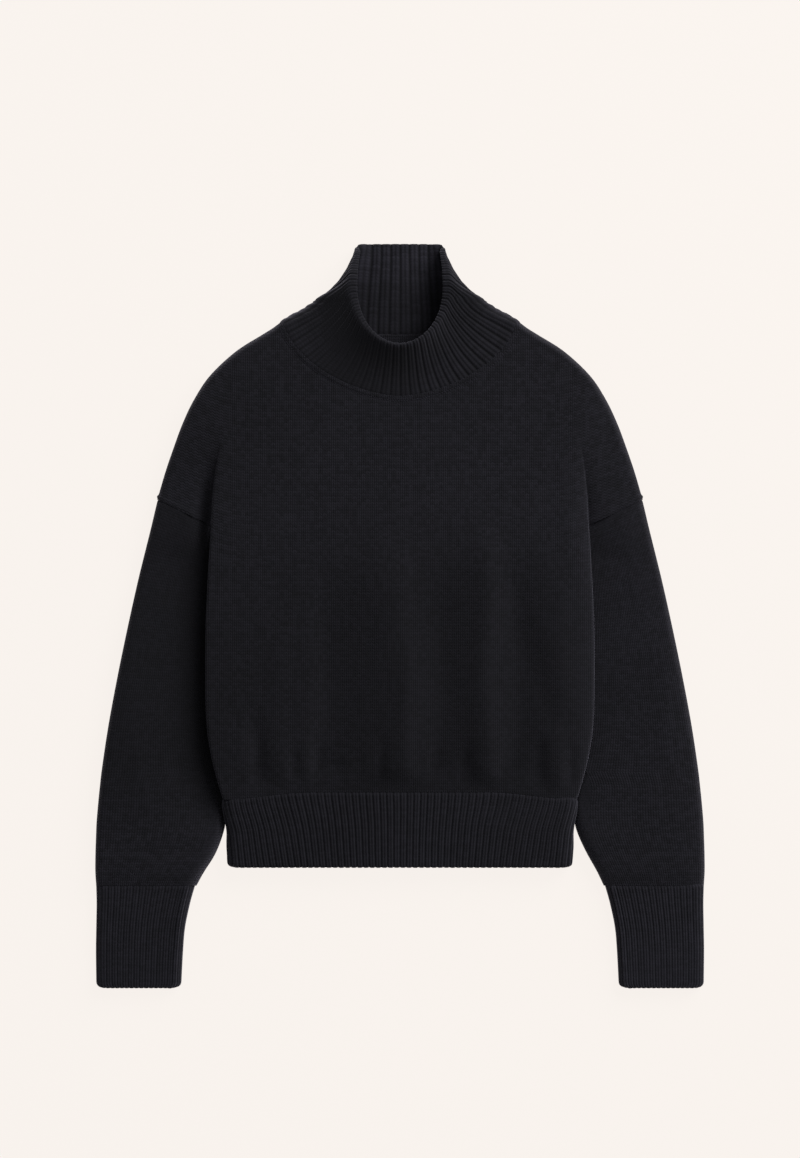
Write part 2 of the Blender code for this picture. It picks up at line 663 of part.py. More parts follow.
def main():
    clear_scene()
    knit = fabric("plain_knit", KNIT_COLOUR)
    rib = fabric("rib_knit", RIB_COLOUR)
    make_panels(knit)
    make_sleeves(knit)
    make_ribs(rib)
    make_collar(rib)


main()
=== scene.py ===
import math

import bpy
import numpy as np
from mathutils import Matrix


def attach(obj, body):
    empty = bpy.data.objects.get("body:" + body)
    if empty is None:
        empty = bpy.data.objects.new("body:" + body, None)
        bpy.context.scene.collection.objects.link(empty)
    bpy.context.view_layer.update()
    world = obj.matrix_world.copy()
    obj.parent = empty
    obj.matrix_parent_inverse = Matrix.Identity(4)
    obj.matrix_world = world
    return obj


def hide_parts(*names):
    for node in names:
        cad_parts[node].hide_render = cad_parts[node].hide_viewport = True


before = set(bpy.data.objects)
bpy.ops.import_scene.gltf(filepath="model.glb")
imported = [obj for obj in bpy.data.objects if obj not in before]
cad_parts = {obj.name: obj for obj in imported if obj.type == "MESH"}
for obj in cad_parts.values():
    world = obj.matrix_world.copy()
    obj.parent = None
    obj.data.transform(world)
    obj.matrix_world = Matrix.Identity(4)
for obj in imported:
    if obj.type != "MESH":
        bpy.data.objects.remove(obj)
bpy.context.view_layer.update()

mm = 0.001
print("sweater: frame loaded")


# ---- camera, floor and light

shot = {
    "centreX": 0.0, "centreY": 38.4,  # the point looked at, in mm
    "frameHeight": 1216.0,  # mm of floor from the bottom to the top of the picture
    "lens": 110.0,
    "focusHeight": 10.0,
}


def makeCamera():
    data = bpy.data.cameras.new("overheadCamera")
    data.lens = shot["lens"]
    data.sensor_width = 36.0
    data.clip_end = 20.0
    distance = shot["frameHeight"] * mm * shot["lens"] / data.sensor_width
    camera = bpy.data.objects.new("overheadCamera", data)
    camera.location = (shot["centreX"] * mm, shot["centreY"] * mm, shot["focusHeight"] * mm + distance)
    bpy.context.scene.collection.objects.link(camera)
    bpy.context.scene.camera = camera


def linear(hexColour):
    # sRGB hex to the linear values that shaders take
    values = [int(hexColour[i:i + 2], 16) / 255.0 for i in (1, 3, 5)]
    return tuple(v / 12.92 if v <= 0.04045 else ((v + 0.055) / 1.055) ** 2.4 for v in values) + (1.0,)


def addNode(tree, kind, inputs=None, **settings):
    # a node with its settings; its inputs take values, sockets, or nodes for their first output
    node = tree.nodes.new(kind)
    for name, value in settings.items():
        setattr(node, name, value)
    for name, value in (inputs or {}).items():
        if isinstance(value, bpy.types.Node):
            value = value.outputs[0]
        if isinstance(value, bpy.types.NodeSocket):
            tree.links.new(value, node.inputs[name])
        else:
            node.inputs[name].default_value = value
    return node


def mathNode(tree, operation, *inputs):
    return addNode(tree, "ShaderNodeMath", dict(enumerate(inputs)), operation=operation)


studio = {
    "paper": "#F8F2ED",  # seamless backdrop, lit evenly from behind so that shadows on it stay faint
    "paperShade": "#3A3937",  # what the lamps light of it
    "paperGlow": 0.97,  # share of its brightness that is its own light
    "floorHalf": 40.0, "floorDrop": 0.4,  # half its width in metres, and mm that it lies below the cloth
    "skyStrength": 0.29,
    "keyPower": 192.0, "keySize": 2.6, "keyPlace": (2.2, 2.35, 2.05),
}


def makeStudio():
    scene = bpy.context.scene
    scene.view_settings.view_transform = "Standard"
    world = bpy.data.worlds.new("studioAir")
    world.use_nodes = True
    scene.world = world
    sky = world.node_tree.nodes["Background"]
    sky.inputs["Color"].default_value = linear("#FFFFFF")
    sky.inputs["Strength"].default_value = studio["skyStrength"]
    data = bpy.data.lights.new("softbox", "AREA")
    data.energy = studio["keyPower"]
    data.size = studio["keySize"]
    light = bpy.data.objects.new("softbox", data)
    light.location = studio["keyPlace"]
    light.rotation_mode = "QUATERNION"
    light.rotation_quaternion = light.location.to_track_quat("Z", "Y")
    scene.collection.objects.link(light)
    half = studio["floorHalf"]
    corners = [(-half, -half, 0), (half, -half, 0), (half, half, 0), (-half, half, 0)]
    mesh = bpy.data.meshes.new("floor")
    mesh.from_pydata(corners, [], [(0, 1, 2, 3)])
    floor = bpy.data.objects.new("floor", mesh)
    floor.location.z = -studio["floorDrop"] * mm
    scene.collection.objects.link(floor)
    paper = bpy.data.materials.new("backdropPaper")
    paper.use_nodes = True
    shader = paper.node_tree.nodes["Principled BSDF"]
    shader.inputs["Base Color"].default_value = linear(studio["paperShade"])
    shader.inputs["Emission Color"].default_value = linear(studio["paper"])
    shader.inputs["Emission Strength"].default_value = studio["paperGlow"]
    shader.inputs["Roughness"].default_value = 0.95
    shader.inputs["Specular IOR Level"].default_value = 0.0
    mesh.materials.append(paper)


makeCamera()
makeStudio()
print("sweater: camera and studio ready")


# ---- curves and grids, in mm

def ease(t):
    t = np.clip(t, 0.0, 1.0)
    return t * t * (3.0 - 2.0 * t)


def quarterRound(t):
    t = np.clip(t, 0.0, 1.0)
    return np.sqrt(1.0 - (1.0 - t) ** 2)


def runLengths(points):
    steps = np.linalg.norm(np.diff(points, axis=0), axis=1)
    return np.concatenate([[0.0], np.cumsum(steps)])


def atFractions(points, fractions):
    points = np.asarray(points, float)
    run = runLengths(points)
    run = run / run[-1]
    return np.stack([np.interp(fractions, run, column) for column in points.T], axis=1)


def smoothCurve(points, perSpan=16):
    # Catmull-Rom through the points
    p = np.asarray(points, float)
    p = np.vstack([2 * p[0] - p[1], p, 2 * p[-1] - p[-2]])
    t = np.linspace(0.0, 1.0, perSpan, endpoint=False)[:, None]
    spans = []
    for a, b, c, d in zip(p[:-3], p[1:-2], p[2:-1], p[3:]):
        spans.append(b + 0.5 * t * (c - a + t * (2 * a - 5 * b + 4 * c - d + t * (3 * (b - c) + d - a))))
    return np.vstack(spans + [p[-2:-1]])


def distanceTo(points, line):
    # plan distance of each point from a polyline
    points = np.asarray(points, float)[..., :2]
    best = np.full(points.shape[:-1], 1e9)
    for start, end in zip(line[:-1], line[1:]):
        step = end - start
        offset = points - start
        along = np.clip((offset * step).sum(-1) / (step ** 2).sum(), 0.0, 1.0)
        best = np.minimum(best, np.linalg.norm(offset - along[..., None] * step, axis=-1))
    return best


def rightHalf(x, y):
    # the plan points mirrored onto the right half
    return np.stack([np.abs(x), y], axis=-1)


def fractionsFrom(lengths):
    run = np.concatenate([[0.0], np.cumsum(lengths)])
    return run / run[-1]


def fineEdge(count, small=0.25, grow=5):
    # fractions along an edge, with shorter steps at its start
    steps = np.ones(count)
    steps[:grow] = np.linspace(small, 1.0, grow, endpoint=False)
    return fractionsFrom(steps)


def bothEnds(count, small=0.3, grow=5):
    steps = np.ones(count)
    steps[:grow] = np.linspace(small, 1.0, grow, endpoint=False)
    steps[-grow:] = steps[:grow][::-1]
    return fractionsFrom(steps)


# ---- the sweater's own measures, in mm

cloth = {
    "wall": 3.0,
    "seamGap": 0.3,
    "levelEdgeBelow": 0.9,  # an edge steeper than this is cut level, a flatter one upright
}

# outline of the right half; the left half mirrors it
bodyShape = {
    "shoulderLine": [(255.0, 121.8), (246.4, 151.2), (237.8, 176.4), (228.4, 201.6), (216.3, 226.8),
                     (199.5, 252.0), (172.6, 277.2), (144.9, 294.8), (133.4, 302.0), (122.0, 310.8)],
    "foldLine": [(185.0, 192.0), (191.5, 163.0), (196.3, 126.0), (198.2, 94.5)],
    "sideLine": [(198.2, 94.5), (200.5, 58.8), (203.6, -4.2), (204.2, -60.0), (203.0, -112.0),
                 (197.5, -150.0), (188.5, -184.0), (185.6, -192.5)],
    "yokeLine": [(185.0, 192.0), (172.0, 219.0), (151.0, 243.0)],
    "yokeAt": 0.24,
    "bodyHeight": 28.0,
    "armHeight": 20.0,
    "shoulderSeamHeight": 8.0,
    "sideSeamHeight": 15.0,
    "tuckedSleeveHeight": 7.0,
    "tuckClearance": 1.4,
    "shoulderRound": 7.0,
    "leftSideRound": 2.0,
    "rightSideSlope": 26.0,
    "underRound": 8.0,
    "valleyWidth": 32.0,
    "rightValleyWidth": 44.0,
    "rightShoulderFall": 4.2,  # the right shoulder and sleeve fall by this towards their outer edge
    "rightShoulderFallWidth": 34.0,
    "courseSlope": 0.42, "courseBendX": 178.0, "courseBendWidth": 9.0,  # courses rise past this x
    "yokeLength": 134.0,
    "domeRise": 1.5,
    "liftReach": 42.0, "liftWidth": 28.0,  # how the back climbs onto the tucked sleeves
}

# how each sleeve sinks towards the body: the left one lies low beside it, the right one nearly level; and
# the shade and light painted on it: shade over the left sleeve, a touch of light over the right one, shade
# beside the body and light towards the cuff
sleeveLie = {
    -1: {"side": -1, "floor": 9.0, "reach": 78.0, "dip": 6.0, "lead": 0.0, "edge": 6.0, "tone": -0.45,
         "fall": 0.0, "bulge": 2.6, "endPaintedLight": 0.35, "innerPaintedShade": -0.3, "innerAt": 17.0,
         "cornerLead": 5.5},
    1: {"side": 1, "floor": 12.6, "reach": 76.0, "dip": 0.0, "lead": 2.5, "edge": 2.8, "tone": 0.06,
        "fall": bodyShape["rightShoulderFall"], "bulge": 0.0, "endPaintedLight": 0.15, "innerPaintedShade": -0.22,
        "innerAt": 8.0, "cornerLead": 2.0},
}

neckShape = {
    "halfWidth": 122.0,
    "sideY": 310.8,
    "frontDepth": 81.0,
    "backDepth": 15.0,
    "exponent": 1.7,
}

hemShape = {
    "topCentreY": -184.8,
    "topSideY": -192.5,
    "bottomY": -262.8,
    "topHalfWidth": 185.0,
    "bottomHalfWidth": 181.0,
    "flare": 5.0,
    "height": 23.6,
    "drop": 2.6,  # the band thins by this towards its lower edge
    "ribs": 56,
    "paintedLightAndTone": -0.08,
    "columnsPerRib": 10,
    "rows": 34,
    "corner": 6.5,
    "topIn": 2.5,  # mm that its top goes into the body
    "underLift": 0.9,  # mm that its underside stands over the floor
    # how much further out the ribs stand at the top than at the bottom, in mm, from the middle to the side
    "leanAt": (0.0, 0.33, 0.45, 0.65, 0.8, 1.0),
    "lean": (0.0, 4.7, 7.0, 12.0, 11.5, 6.0),
}

sleeveSections = np.array([
    # outer x, outer y, inner x, inner y, height
    (254.8, 120.9, 195.4, 92.2, 20.0),
    (258.2, 106.5, 191.5, 78.5, 20.0),
    (262.6, 88.0, 183.0, 61.0, 20.0),
    (275.0, 37.8, 168.0, 22.0, 20.5),
    (286.2, -12.6, 160.0, -22.0, 21.0),
    (296.6, -63.0, 158.0, -68.0, 21.5),
    (306.0, -113.4, 163.0, -116.0, 21.5),
    (312.8, -158.0, 175.0, -156.0, 21.0),
    (315.4, -180.0, 184.6, -178.0, 20.8),
    (317.4, -200.0, 183.0, -200.0, 20.6),
    (318.8, -217.0, 183.4, -217.0, 20.4),
    (319.4, -231.0, 187.4, -231.0, 20.2),
    (320.0, -250.0, 196.4, -250.0, 20.0),
    (320.2, -268.0, 206.5, -268.0, 19.0),
    (319.4, -283.6, 214.0, -283.6, 16.0),
])

cuffShape = {
    "sections": np.array([
        # y, outer x, inner x, height
        (-283.9, 319.2, 215.4, 15.5),
        (-302.4, 318.8, 220.6, 15.0),
        (-327.6, 319.2, 225.8, 14.5),
        (-352.8, 319.6, 228.0, 14.0),
        (-390.6, 319.2, 230.0, 13.0),
    ]),
    "ribs": 16,
    "paintedLightAndTone": 0.2,
    "columnsPerRib": 10,
    "rows": 38,
    "corner": 5.5,
    "wideRib": 0.022,  # how much wider the rib beside the inner seam is, as a share of the band
    "topIn": 2.5,  # mm that its top goes into the sleeve
    "underLift": 1.4,  # mm that its underside stands over the floor
}

collarShape = {
    "ribs": 50,
    "frontRibs": 29,
    "mouthRibs": 42,
    "columnsPerRib": 12,
    "paintedLightAndTone": -0.15,
    "crestPaintedShade": -0.3,  # painted shade on the steep part below the rim
    "leftPaintedShade": -0.5,  # painted shade on the left part down to the foot
    # the inside is painted lighter near its top and darker low
    "insideTopPaintedLight": 0.62, "insideLowPaintedShade": -0.12,
    "topY": 390.6,
    "mouthHalfWidth": 43.5,
    "mouthTopHalfWidth": 39.5,
    "mouthWidestY": 342.0,
    "mouthDepth": 57.0,
    "rimHeight": 43.0,
    "rimSideHeight": 37.0,
    "rightSideSag": 0.24,  # the right side of the rim has sunk by this share
    "cornerHeight": 9.0,
    "cornerThinning": 1.6,  # mm that the wall is thinner at the two top corners
    "crestOutFront": 3.5,
    "crestOutSide": 7.0,
    "crestLift": 2.0,
    "rimOut": 1.2,
    "crestBelowTop": 5.0,
    "sideLean": 60.0,  # degrees that the ribs lean inwards where they leave the neck's side
    "sideTightness": 0.25,
    # y and half width of the outline beside the neck
    "outline": [(311.0, 122.0), (314.0, 118.2), (320.2, 106.0), (326.5, 95.4), (332.9, 86.2), (339.2, 77.5),
                (345.5, 70.8), (351.8, 64.6), (358.0, 60.3), (364.4, 56.2), (370.7, 53.2), (377.0, 50.2),
                (383.3, 48.2), (388.0, 47.6), (390.6, 46.4)],
    "tuck": 2.2,  # how far its foot goes into the neckline's wall
    "rowsBelowCrest": 40,
    "rowsOverCrest": 7,
}

# soft creases that run down the front; a negative rise is a trough
frontCreases = [
    # x and y of the top, x and y of the bottom, width on its left, width on its right, rise
    (-2.0, 96.0, -2.0, -196.0, 34.0, 17.0, 6.4),
    (88.0, 116.0, 88.0, -190.0, 20.0, 16.0, 5.5),
    (166.0, 80.0, 166.0, -196.0, 22.0, 12.0, 2.8),
    (-124.0, 10.0, -124.0, -190.0, 14.0, 12.0, 2.0),
    (-76.0, 70.0, -76.0, -175.0, 15.0, 26.0, -4.0),
    (43.0, 70.0, 43.0, -180.0, 16.0, 16.0, -2.8),
    (124.0, 80.0, 124.0, -190.0, 14.0, 16.0, -3.4),
    # sharper lines on the broad folds
    (14.0, 10.0, 8.0, -184.0, 11.0, 26.0, 2.4),
    (94.0, 60.0, 88.0, -184.0, 12.0, 16.0, 1.3),
    (-92.0, 20.0, -98.0, -170.0, 16.0, 12.0, 1.4),
    # slanting towards the right side
    (118.0, 30.0, 160.0, -128.0, 14.0, 17.0, -1.7),
    (142.0, 30.0, 178.0, -112.0, 12.0, 16.0, 0.8),
    # gathers, where the body is drawn in to the band
    (-150.0, -84.0, -150.0, -198.0, 9.0, 9.0, -4.0),
    (-112.0, -120.0, -112.0, -198.0, 7.0, 7.0, -2.4),
    (-84.0, -105.0, -84.0, -198.0, 8.0, 7.0, -3.0),
    (-56.0, -128.0, -56.0, -198.0, 8.0, 8.0, 1.5),
    (-20.0, -110.0, -20.0, -198.0, 8.0, 6.0, -3.2),
    (20.0, -126.0, 20.0, -198.0, 7.0, 7.0, -1.8),
    (36.0, -108.0, 36.0, -198.0, 8.0, 8.0, -2.4),
    (72.0, -118.0, 72.0, -198.0, 9.0, 7.0, -3.4),
    (106.0, -140.0, 106.0, -198.0, 7.0, 7.0, -2.0),
    (148.0, -104.0, 148.0, -198.0, 9.0, 8.0, -4.0),
    (176.0, -120.0, 176.0, -198.0, 7.0, 7.0, -2.8),
]

shoulderCurve = smoothCurve(bodyShape["shoulderLine"])
bodyEdge = smoothCurve(bodyShape["foldLine"] + bodyShape["sideLine"][1:])


def neckline(depth, fractions, inset=0.0):
    # half of the neckline, from the neck's side to its centre
    angle = np.linspace(0.0, math.pi / 2, 90)
    power = 2.0 / neckShape["exponent"]
    x = (neckShape["halfWidth"] - inset) * np.cos(angle) ** power
    y = neckShape["sideY"] - (depth - inset) * np.sin(angle) ** power
    return atFractions(np.stack([x, y], axis=1), fractions)


# ---- heights of the cloth's outside over the floor

def creaseRise(x, y):
    rise = np.zeros_like(x)
    for topX, top, bottomX, bottom, left, right, high in frontCreases:
        centre = bottomX + (topX - bottomX) * (y - bottom) / (top - bottom)
        offset = x - centre - 2.5 * np.sin(y / 31.0 + topX)
        across = np.exp(-(offset / np.where(offset < 0, left, right)) ** 2)
        fade = min(70.0, (top - bottom) / 2)
        rise += high * across * ease((top - y) / fade) * ease((y - bottom) / (0.25 * fade))
    return rise


def beyondFold(x, y):
    return np.abs(x) - np.interp(-y, -bodyEdge[:, 1], bodyEdge[:, 0])


def hemTop(x):
    rise = hemShape["topCentreY"] - hemShape["topSideY"]
    return hemShape["topSideY"] + rise * ease(2 - 2 * np.abs(x) / hemShape["topHalfWidth"])


def crownHeight(x, y):
    # a low dome that steps down to the upper arm
    dome = bodyShape["domeRise"] * ease((200.0 - np.abs(y + 20.0)) / 150.0)
    dome = dome * ease((170.0 - np.abs(x)) / 150.0)
    waist = (bodyShape["bodyHeight"] - hemShape["height"] - 1.0) * ease((-130.0 - y) / 60.0)
    toBand = ease((y - hemTop(x) - 1.0) / 28.0)
    body = bodyShape["bodyHeight"] + dome - waist + creaseRise(x, y) * toBand
    onArm = ease((beyondFold(x, y) + 12.0) / 45.0) * ease((240.0 - y) / 110.0)
    onArm = onArm * (1 - ease((110.0 - y) / 50.0) * (x < 0))
    return body + (bodyShape["armHeight"] - body) * onArm


def roundedShoulder(height, x, y, foot, radius):
    out = distanceTo(rightHalf(x, y), shoulderCurve)
    low = ease((270.0 - y) / 60.0) * (x > 0)
    fall = falling(out / bodyShape["rightShoulderFallWidth"])
    height = height - bodyShape["rightShoulderFall"] * low * fall
    return foot + (height - foot) * quarterRound(out / radius)


def valleyDip(out):
    # share by which the upper arm is pressed down beside the body
    return np.exp(-((out - 8.5) / 7.5) ** 2) * (out > 0) * ease(out / 3.0)


def falling(t):
    return (1.0 - np.clip(t, 0.0, 1.0)) ** 2


def valleyRise(out, side):
    # share of the upper arm's height beside the body, soft on the left and rising at once on the right
    left, right = ease(out / bodyShape["valleyWidth"]), 1 - falling(out / bodyShape["rightValleyWidth"])
    return np.where(side < 0, left, right)


def frontHeight(x, y):
    out = beyondFold(x, y)
    crown = crownHeight(x, y)
    top, under = bodyShape["foldLine"][0][1], bodyShape["sideLine"][0][1]
    folded = ease((top - y) / (top - under))
    crisp = 1 - quarterRound(-out / bodyShape["leftSideRound"])
    sloping = 0.35 * (1 - quarterRound(-out / 3.0)) + 0.65 * falling(-out / bodyShape["rightSideSlope"])
    near = np.where(out < 0, np.where(x < 0, crisp, sloping), 1 - valleyRise(out, np.sign(x)))
    height = crown - (crown - bodyShape["sideSeamHeight"]) * folded * near
    height = height - sleeveLie[-1]["dip"] * valleyDip(out) * folded * (x < 0)
    return roundedShoulder(height, x, y, bodyShape["shoulderSeamHeight"], bodyShape["shoulderRound"])


def sleeveHeight(x, y, lie):
    out = beyondFold(x, y)
    crown, side, low = bodyShape["armHeight"], bodyShape["sideSeamHeight"], bodyShape["tuckedSleeveHeight"]
    tucked = ease((bodyShape["sideLine"][0][1] - y) / 40.0)
    free = ease((-190.0 - y) / 50.0)
    valley = side + (lie["floor"] - side) * tucked
    valley = valley + (crown - valley) * free
    # follows the shoulder at the armhole, then falls gently towards the body
    atTop = valleyRise(out, lie["side"])
    below = np.clip(out / lie["reach"], 0.0, 1.0)
    height = valley + (crown - valley) * (atTop + (below - atTop) * tucked)
    height = height - lie["dip"] * valleyDip(out) * (1 - tucked)
    lead = lie["lead"] + lie["cornerLead"] * (1 - tucked)
    return low + (height - low) * np.maximum(ease((out + lead) / lie["edge"]), free)


def backHeight(x, y):
    out = beyondFold(x, y)
    tuck = np.interp(-y, -sleeveSections[:, 3], sleeveSections[:, 2])
    lift = ease((np.abs(x) - tuck + bodyShape["liftReach"]) / bodyShape["liftWidth"])
    under = bodyShape["sideLine"][0][1]
    lift = lift * ease((under + 24.0 - y) / 26.0) * ease((y + 190.0) / 22.0)
    height = (bodyShape["tuckedSleeveHeight"] + bodyShape["tuckClearance"]) * lift
    side = (1 - quarterRound(-out / bodyShape["underRound"])) * ease((under + 6.0 - y) / 12.0)
    height = height + (bodyShape["sideSeamHeight"] - cloth["seamGap"] - height) * side
    along = distanceTo(rightHalf(x, y), shoulderCurve)
    edge = 1 - quarterRound(along / bodyShape["underRound"])
    return height + (bodyShape["shoulderSeamHeight"] - cloth["seamGap"] - height) * edge


# ---- meshes

def blendPatch(top, bottom, outer, inner):
    # fills a four-sided plan region from its edges
    def share(first, second):
        one, two = runLengths(first), runLengths(second)
        return 0.5 * (one / one[-1] + two / two[-1])
    u = share(top, bottom)[None, :, None]
    v = share(outer, inner)[:, None, None]
    straight = (1 - u) * outer[:, None] + u * inner[:, None]
    crossed = (1 - v) * top[None] + v * bottom[None]
    corners = (1 - v) * ((1 - u) * top[0] + u * top[-1]) + v * ((1 - u) * bottom[0] + u * bottom[-1])
    return straight + crossed - corners


def gridFaces(rows, columns, closed=False, flip=False):
    r, c = np.meshgrid(np.arange(rows - 1), np.arange(columns if closed else columns - 1), indexing="ij")
    a = r * columns + c
    b = r * columns + (c + 1) % columns
    quads = np.stack([a, b, b + columns, a + columns], axis=-1).reshape(-1, 4)
    return quads[:, ::-1] if flip else quads


def pointNormals(vertices, faces):
    corners = vertices[faces]
    area = np.cross(corners[:, 2] - corners[:, 0], corners[:, 3] - corners[:, 1])
    normals = np.zeros_like(vertices)
    for i in range(4):
        np.add.at(normals, faces[:, i], area)
    return normals / np.maximum(np.linalg.norm(normals, axis=1), 1e-12)[:, None]


def addMesh(name, vertices, faces, cornerUv, material, attributes=None):
    mesh = bpy.data.meshes.new(name)
    faces = np.asarray(faces)
    mesh.vertices.add(len(vertices))
    mesh.vertices.foreach_set("co", (np.asarray(vertices) * mm).ravel())
    mesh.loops.add(faces.size)
    mesh.loops.foreach_set("vertex_index", faces.ravel())
    mesh.polygons.add(len(faces))
    mesh.polygons.foreach_set("loop_start", np.arange(len(faces)) * 4)
    mesh.update(calc_edges=True)
    layer = mesh.uv_layers.new(name="knitMap")
    layer.data.foreach_set("uv", np.asarray(cornerUv, float).ravel())
    for key, values in (attributes or {}).items():
        data = mesh.attributes.new(key, "FLOAT", "POINT").data
        data.foreach_set("value", np.asarray(values, float).ravel())
    mesh.validate()
    mesh.materials.append(material)
    mesh.shade_smooth()
    piece = bpy.data.objects.new(name, mesh)
    bpy.context.scene.collection.objects.link(piece)
    return piece


def panelPlan(neckDepth, detail):
    # plan grids of half a panel: the shoulder part and the body part
    foldRows, sideRows, yokeColumns, neckColumns, shoulderRows = detail
    neckTop = neckline(neckDepth, np.array([bodyShape["yokeAt"]]))[0]
    nearTop = 0.4 * np.array(bodyShape["yokeLine"][-1]) + 0.6 * neckTop
    yoke = smoothCurve(bodyShape["yokeLine"] + [tuple(nearTop), tuple(neckTop)])
    yokeRun = bothEnds(yokeColumns, 0.15, 6)
    yoke = atFractions(yoke, yokeRun)
    fold = atFractions(smoothCurve(bodyShape["foldLine"]), 1.0 - bothEnds(foldRows, 0.3, 8))
    lowerEdge = np.vstack([fold, yoke[1:]])
    down = fineEdge(shoulderRows)
    seam = atFractions(np.array([shoulderCurve[0], fold[0]]), down)
    run = runLengths(lowerEdge)
    shoulder = atFractions(shoulderCurve, run / run[-1])
    neckSide = neckline(neckDepth, bodyShape["yokeAt"] * down)
    upper = blendPatch(shoulder, lowerEdge, seam, neckSide)

    neck = neckline(neckDepth, np.linspace(bodyShape["yokeAt"], 1.0, neckColumns + 1))
    top = np.vstack([yoke, neck[1:]])
    side = atFractions(smoothCurve(bodyShape["sideLine"]), 1.0 - fineEdge(sideRows, 0.15, 7)[::-1])
    outer = np.vstack([fold[::-1], side[1:]])
    drop = (runLengths(outer) / runLengths(outer)[-1])[:, None]
    inner = top[-1] + drop * (np.array([0.0, hemShape["topCentreY"]]) - top[-1])
    hemX = hemShape["topHalfWidth"] + 0.6
    lead = yokeRun[:6] * bodyShape["yokeLength"] / hemX
    share = np.concatenate([lead, np.linspace(lead[-1], 1.0, len(top) - 5)[1:]])
    hemY = hemShape["topSideY"] + (hemShape["topCentreY"] - hemShape["topSideY"]) * ease(share / 0.5)
    lower = blendPatch(top, np.stack([hemX * (1 - share), hemY], axis=1), outer, inner)

    return [upper, lower]


def panelKnit(x, y, drop):
    # wales run down the panel; over the drop of the shoulder its courses rise, as the armhole does
    out = np.abs(x)
    bend = bodyShape["courseBendWidth"]
    past = np.log1p(np.exp((out - bodyShape["courseBendX"]) / bend)) * bend
    slope = bodyShape["courseSlope"] * past * ease((y - 40.0) / 50.0)
    return np.stack([np.sign(x) * (out + drop), y - slope], axis=-1)


def pulledShare(vertices):
    # the drop of the shoulder is pulled along its courses
    outwards = ease((np.abs(vertices[:, 0]) - frontShadingAndPull["pulledFromX"]) / 20.0)
    return frontShadingAndPull["pulled"] * outwards * ease((vertices[:, 1] - 60.0) / 50.0)


def makePanel(name, plans, height, facingUp, material, relief=None, paintedLightAndTone=None):
    points, faces, knit, first = [], [], [], 0
    for side in (1, -1):
        for plan in plans:
            x, y = side * plan[..., 0], plan[..., 1]
            z = height(x, y)
            points.append(np.stack([x, y, z], axis=-1).reshape(-1, 3))
            drop = 0.3 * (crownHeight(x, y) - z) if facingUp else z
            knit.append(panelKnit(np.where(x == 0, side * 1e-6, x), y, drop).reshape(-1, 2))
            faces.append(gridFaces(*plan.shape[:2], flip=(side > 0) != facingUp) + first)
            first += plan.shape[0] * plan.shape[1]
    points, faces, knit = np.vstack(points), np.vstack(faces), np.vstack(knit)
    keys = np.round(points / 0.02).astype(int)
    _, kept, welded = np.unique(keys, axis=0, return_index=True, return_inverse=True)
    welded = welded.ravel()
    cornerUv = knit[faces].reshape(-1, 2)
    faces, vertices = welded[faces], points[kept]
    normals = pointNormals(vertices, faces)
    tone = np.zeros(len(vertices)) if paintedLightAndTone is None else paintedLightAndTone(vertices)
    if relief is not None:
        vertices = vertices + normals * relief(vertices)[:, None]
    edges = np.stack([faces, np.roll(faces, -1, axis=1)], axis=-1).reshape(-1, 2)
    code = edges[:, 0].astype(np.int64) * len(vertices) + edges[:, 1]
    back = edges[:, 1].astype(np.int64) * len(vertices) + edges[:, 0]
    rim = ~np.isin(code, back)
    border = edges[rim]
    ends = np.unique(border)
    steep = np.abs(normals[ends, 2]) < cloth["levelEdgeBelow"]
    level = normals[ends] * np.array([1.0, 1.0, 0.0])
    level /= np.maximum(np.linalg.norm(level, axis=1), 1e-9)[:, None]
    upright = np.stack([0 * level[:, 0], 0 * level[:, 0], np.sign(normals[ends, 2])], axis=1)
    normals[ends] = np.where(steep[:, None], level, upright)
    count = len(vertices)
    rimFaces = np.stack([border[:, 1], border[:, 0], border[:, 0] + count, border[:, 1] + count], axis=1)
    solid = np.vstack([faces, faces[:, ::-1] + count, rimFaces])
    innerUv = cornerUv.reshape(-1, 4, 2)[:, ::-1].reshape(-1, 2)
    at = cornerUv[rim]
    after = cornerUv.reshape(-1, 4, 2)[:, [1, 2, 3, 0]].reshape(-1, 2)[rim]
    rimUv = np.stack([after, at, at, after], axis=1).reshape(-1, 2)
    allUv = np.vstack([cornerUv, innerUv, rimUv])
    vertices = np.vstack([vertices, vertices - normals * cloth["wall"]])
    marks = {"paintedLightAndTone": np.tile(tone, 2), "pulled": pulledShare(vertices)}
    return addMesh(name, vertices, solid, allUv, material, marks)


def flatRing(outer, inner, shares, top, mids, rounds, inset):
    # a section of a tube that lies flat, over the top from the outer edge and back below;
    # top is its height, or a function of x and y
    outer, inner = np.asarray(outer, float), np.asarray(inner, float)
    width = np.linalg.norm(inner - outer)
    step = (inner - outer) / width
    ring = []
    for share, upper in ((shares[0], True), (shares[1], False)):
        at = inset + share * (width - 2 * inset)
        plan = outer + at[:, None] * step
        turn = 1 if upper else 2
        nearOuter = quarterRound((at - inset) / max(rounds[0] - inset, 0.6) * turn)
        nearInner = quarterRound((width - inset - at) / max(rounds[1] - inset, 0.6) * turn)
        lid = top(plan[:, 0], plan[:, 1]) if callable(top) else top
        level = lid - inset if upper else inset
        mid = mids[0] + (mids[1] - mids[0]) * ease(at / width)
        ring.append(np.column_stack([plan, mid + (level - mid) * nearOuter * nearInner]))
    return np.vstack([ring[0], ring[1][::-1][1:-1]])


